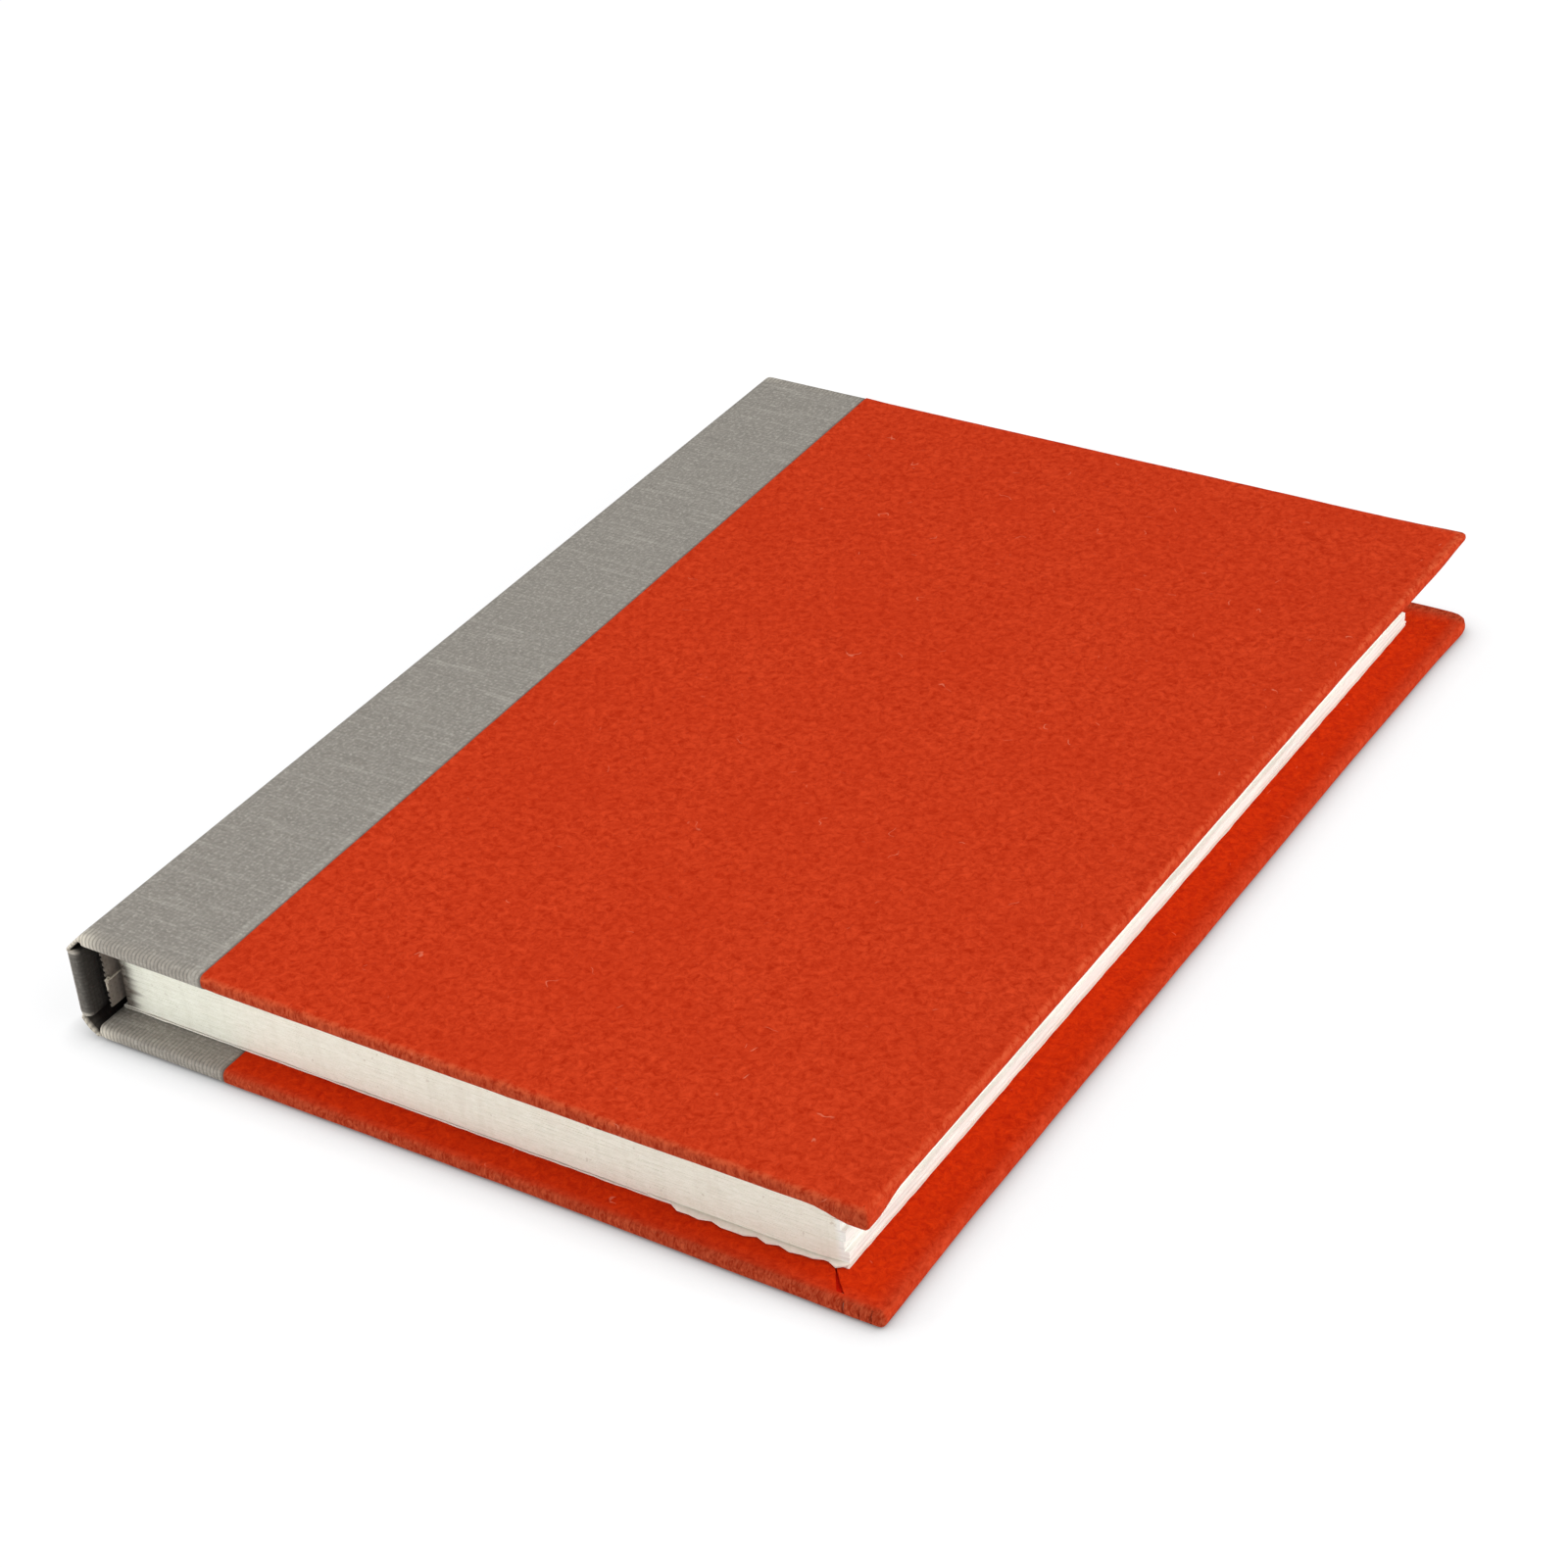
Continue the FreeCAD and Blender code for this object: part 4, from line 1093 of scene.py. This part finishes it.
def make_endpaper(cover):
    """One folded sheet: the pastedown lies on the cover, the flyleaf against the sections."""
    low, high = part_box(f"{cover.name}_endpaper")
    outward = cover.outward
    fold, fore, end = low.x / MM, high.x / MM, high.y / MM
    paper = 0.2  # thickness of the sheet
    both = 0.6  # from the outside of the flyleaf to the outside of the pastedown
    fly = (low.z if outward > 0 else high.z) / MM + outward * paper / 2
    # The pastedown lies on the turn-ins, and sinks to the board inside them.
    paste = fly + outward * (both - paper)
    turn = (paste - fly) / 2
    half_fold = math.pi * abs(turn) / 2
    leaf = fore - fold - abs(turn)
    columns = evenly(-half_fold - leaf, -half_fold, 1.5)[:-1] + evenly(-half_fold, half_fold, 0.07)
    columns += evenly(half_fold, half_fold + leaf, 1.5)[1:]
    rows = evenly(-end, end, 1.2)
    window_end = 65.3
    window_fore = min(cover.fore_edges) / MM - TURN_IN - 0.2

    def place(across, along):
        wander = 0.10 * noise.noise((across / 1.7, along / 1.7, outward * 5.3 + (3 if across > 0 else 0)))
        if abs(across) <= half_fold:
            angle = across / half_fold * math.pi / 2
            x = fold + abs(turn) * (1 - math.cos(angle)) + paper / 2
            z = (fly + paste) / 2 + turn * math.sin(angle)
            return Vector((x * MM, along * MM, z * MM))
        reach = abs(across) - half_fold
        x = fold + abs(turn) + reach + paper / 2
        at_fore, at_end = ease(reach, leaf - 1.4, leaf), ease(abs(along), end - 1.1, end)
        side = 1 if along > 0 else -1
        x += (wander - 0.12) * at_fore
        y = along + (wander - 0.05) * at_end * side
        if across > 0:
            depth = ease(x, fold + 1.6, fold + 2.6) * fade(x, window_fore - 0.5, window_fore + 0.5)
            depth *= fade(abs(along), window_end - 0.5, window_end + 0.5)
            return Vector((x * MM, y * MM, (paste + outward * 0.33 * depth) * MM))
        z = fly + outward * 0.03 * noise.noise((x / 14, along / 14, 2.0))
        if cover is BACK and along < 0:
            # The lowest leaf kept part of its deckle, which hangs out ragged by the tail corner.
            scallop = abs(noise.noise((x / 3.1, 7.1, 0.0))) + 0.5 * abs(noise.noise((x / 1.3, 1.9, 0.0)))
            y -= (0.95 - 1.3 * scallop) * deckle(x, -along, end)
        return Vector((x * MM, y * MM, z * MM))

    obj, _ = folded_sheet(f"{cover.name}_endpaper_sheet", columns, rows, place)
    for loop in obj.data.uv_layers[0].data:
        loop.uv = ((loop.uv[0] + 200) * MM, (loop.uv[1] + 100 + 200 * outward) * MM)
    if cover is BACK:
        turn_over(obj)
    modify(obj, "SOLIDIFY", thickness=paper * MM, offset=0.0)
    bpy.ops.object.shade_smooth_by_angle(angle=math.radians(50))
    dress(obj, endpaper_stock)
    bend_with(obj, cover)
    if cover is BACK:
        # The deckle droops on to the turn-in. It does so after the sheet is baked in place.
        for vertex in obj.data.vertices:
            x, y, z = vertex.co / MM
            if z > (fly + paste) / 2:
                vertex.co.z -= 0.30 * MM * deckle(x, -y, end)
    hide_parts(f"{cover.name}_endpaper")


for cover in (FRONT, BACK):
    make_endpaper(cover)


# ---------------------------------------------------------------- sections of leaves

SECTIONS = 7
SECTION = (block_high.z - block_low.z) / SECTIONS  # thickness of one
LEAF_PITCH = SECTION / (2 * SHEETS_IN_SECTION)
LEAF = LEAF_PITCH * 0.94  # thickness of a leaf, which leaves a hairline between two
STATIONS = [station * MM for station in (-62, -31, 0, 31, 62)]  # where the sewing goes through the folds
KERF_WIDTH = 1.2 * MM
KERF_DEPTH = 1.1 * MM
FORE_EDGE_STEPS = (0, 2, 1, 3, 1, 0, 2)  # how far each section stands back, in quarters of a millimetre


def make_folded_sheet(layer):
    """One sheet of a section, folded round those inside it, with five holes sawn in its fold. It lies
    about the height of 0."""
    spread = (SHEETS_IN_SECTION - layer - 0.5) * LEAF_PITCH
    bend = block_low.x + SECTION / 2
    strip = 4 * MM  # beside the fore edge, where the finer cuts go
    end = block_high.y
    obj = start_from(
        bpy.ops.mesh.primitive_plane_add,
        f"sheet_{layer}",
        (bend, -end, spread),
        (block_high.x - strip, end, spread),
    )
    choose("EDGE", lambda e: runs_along(e, 1) and middle(e).x < 0)
    bpy.ops.mesh.spin(steps=6, angle=-math.pi, center=(bend, 0, 0), axis=(0, 1, 0))
    choose("EDGE", lambda e: runs_along(e, 1) and abs(middle(e).z + spread) < TOUCH)
    bpy.ops.mesh.extrude_region_move(TRANSFORM_OT_translate={"value": (block_high.x - strip - bend, 0, 0)})
    # Narrow cuts across the leaves let their tail and head edges wander.
    choose("EDGE", lambda e: runs_along(e, 0))
    bpy.ops.mesh.subdivide(number_cuts=72)
    choose("EDGE", lambda e: runs_along(e, 1) and middle(e).x > block_high.x - strip - TOUCH)
    bpy.ops.mesh.extrude_region_move(TRANSFORM_OT_translate={"value": (strip, 0, 0)})
    choose("EDGE", lambda e: runs_along(e, 1) and middle(e).x > block_high.x - strip - TOUCH)
    bpy.ops.mesh.subdivide(number_cuts=90)
    # The saw went through the fold at each sewing station.
    for station in STATIONS:
        for side in (-0.5, 0.5):
            choose("FACE", lambda f: middle(f).x < bend + 0.1 * MM)
            cut = (0, station + side * KERF_WIDTH, 0)
            bpy.ops.mesh.bisect(plane_co=cut, plane_no=(0, 1, 0))
    choose(
        "FACE",
        lambda f: middle(f).x < block_low.x + KERF_DEPTH * 0.62
        and any(abs(middle(f).y - station) < KERF_WIDTH / 2 for station in STATIONS),
    )
    bpy.ops.mesh.delete(type="FACE")
    close_edit(obj)
    return obj


def make_section():
    """The sheets of one section, one inside the other, as the others are copied from it."""
    sheets = [make_folded_sheet(layer) for layer in range(SHEETS_IN_SECTION)]
    bpy.ops.object.select_all(action="DESELECT")
    for sheet in sheets:
        sheet.select_set(True)
    bpy.context.view_layer.objects.active = sheets[0]
    bpy.ops.object.join()
    modify(sheets[0], "SOLIDIFY", thickness=LEAF, offset=0.0)
    return sheets[0]


def trim_section(obj, index):
    """Gives a section its height in the block, its step at the fore edge, and hand-cut edges."""
    height = block_low.z + (index + 0.5) * SECTION
    step = FORE_EDGE_STEPS[index] * 0.25
    end, fore = block_high.y / MM, block_high.x / MM
    for vertex in obj.data.vertices:
        x, y, z = vertex.co / MM
        leaf = math.floor((vertex.co.z + SECTION / 2) / LEAF_PITCH)
        seed = index * 11.3 + leaf * 1.7
        at_fore, at_end = ease(x, fore - 4, fore), ease(abs(y), end - 1.0, end)
        swell = 0.045 * noise.noise((x / 16, y / 30, index * 0.4)) * ease(x, -50, -40)
        z += swell + 0.008 * noise.noise((x / 5, y / 9, seed))
        slow, quick = noise.noise((y / 6, seed, 1.0)), noise.noise((y / 1.3, seed, 4.0))
        x += (0.11 * slow - 0.05 + 0.04 * quick - step) * at_fore
        side = 1 if y > 0 else -1
        y += side * (0.04 * noise.noise((x / 4, seed, 2.0 * side)) - 0.03) * at_end
        # The corners of the leaves have softened.
        y -= side * 0.35 * fade(fore - x, 0.0, 1.3) * at_end
        vertex.co = (x * MM, y * MM, z * MM + height)


first_section = make_section()
sections = [first_section]
for index in range(1, SECTIONS):
    copied = first_section.copy()
    copied.data = first_section.data.copy()
    bpy.context.collection.objects.link(copied)
    sections.append(copied)
for index, section in enumerate(sections):
    section.name = section.data.name = f"section_{index + 1}"
    trim_section(section, index)
    select_alone(section)
    bpy.ops.object.shade_smooth_by_angle(angle=math.radians(35))
    dress(section, rag_leaf)
    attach(section, "book_block")
    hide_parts("text_block")


# ---------------------------------------------------------------- lining and thread end


def make_lining():
    """The strip of cloth over the folds, cut by hand, with threads pulled out at both ends."""
    low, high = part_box("spine_lining")
    pitch = 0.4  # from one thread to the next
    obj = start_from(
        bpy.ops.mesh.primitive_plane_add,
        "lining_strip",
        (0, low.y + 0.6 * MM, low.z),
        (high.z - low.z, high.y - 0.6 * MM, low.z),
    )
    slice_evenly(0, 0, high.z - low.z, step=pitch * MM)
    slice_evenly(1, low.y, high.y, step=2 * pitch * MM)
    # Every other thread sticks out of the cut ends, by more or less.
    for side in (-1, 1):
        for index in range(0, 23, 2):
            start = index * pitch * MM
            choose(
                "EDGE",
                lambda e: runs_along(e, 0)
                and middle(e).y * side > high.y - 0.7 * MM
                and start < middle(e).x < start + pitch * MM,
            )
            length = 0.18 + 0.16 * noise.noise((index * 0.77, side * 2.0, 0.0))
            out = (0.03 * MM, side * length * MM, 0)
            bpy.ops.mesh.extrude_region_move(TRANSFORM_OT_translate={"value": out})
    # It is stood up against the folds, and follows the hollows between the sections.
    mesh = bmesh.from_edit_mesh(obj.data)
    for vertex in mesh.verts:
        up = vertex.co.x + low.z
        furrow = abs(math.sin(math.pi * (up - block_low.z) / SECTION))
        curl = 0.25 * ease(abs(vertex.co.y), block_high.y, high.y)
        curl *= noise.noise((up * 300, vertex.co.y * 200, 5.0))
        over = (high.x + low.x) / 2 + (0.05 - 0.12 * furrow + curl) * MM
        vertex.co = (over, vertex.co.y, up)
    bmesh.update_edit_mesh(obj.data)
    close_edit(obj)
    modify(obj, "SOLIDIFY", thickness=0.22 * MM, offset=0.0)
    bpy.ops.object.shade_smooth_by_angle(angle=math.radians(40))
    dress(obj, lining_cloth)
    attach(obj, "book_block")
    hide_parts("spine_lining")


make_lining()


def make_thread_knot():
    """The end of the sewing thread, tied in an overhand knot at the tail, beside the fold that it left."""
    curve = bpy.data.curves.new("thread_knot", "CURVE")
    curve.dimensions = "3D"
    curve.bevel_depth = 0.12 * MM
    curve.bevel_resolution = 2
    curve.use_fill_caps = True
    knot = Vector((block_low.x / MM + 0.25, block_low.y / MM - 1.95, 7.9))
    route = []
    steps = 36
    for step in range(steps + 1):
        turn = math.radians(20 + step * 320 / steps)
        along = math.sin(turn) + 2 * math.sin(2 * turn)
        up = math.cos(turn) - 2 * math.cos(2 * turn)
        route.append(knot + 0.12 * Vector((0.6 * math.sin(3 * turn), along, up)))
    route.insert(0, knot + Vector((0.3, 2.2, 0.2)))
    route.append(knot + Vector((0.3, -0.5, -1.1)))
    spline = curve.splines.new("NURBS")
    spline.points.add(len(route) - 1)
    spline.points.foreach_set("co", [value for at in route for value in (*(at * MM), 1.0)])
    spline.use_endpoint_u = True
    spline.order_u = 3
    obj = bpy.data.objects.new("thread_knot", curve)
    bpy.context.collection.objects.link(obj)
    select_alone(obj)
    bpy.ops.object.convert(target="MESH")
    bpy.ops.object.shade_smooth()
    # The knot is painted a darker, greyer tone.
    paint(obj, "stained", lambda point: 0.8)
    dress(obj, linen_thread)
    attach(obj, "book_block")


make_thread_knot()
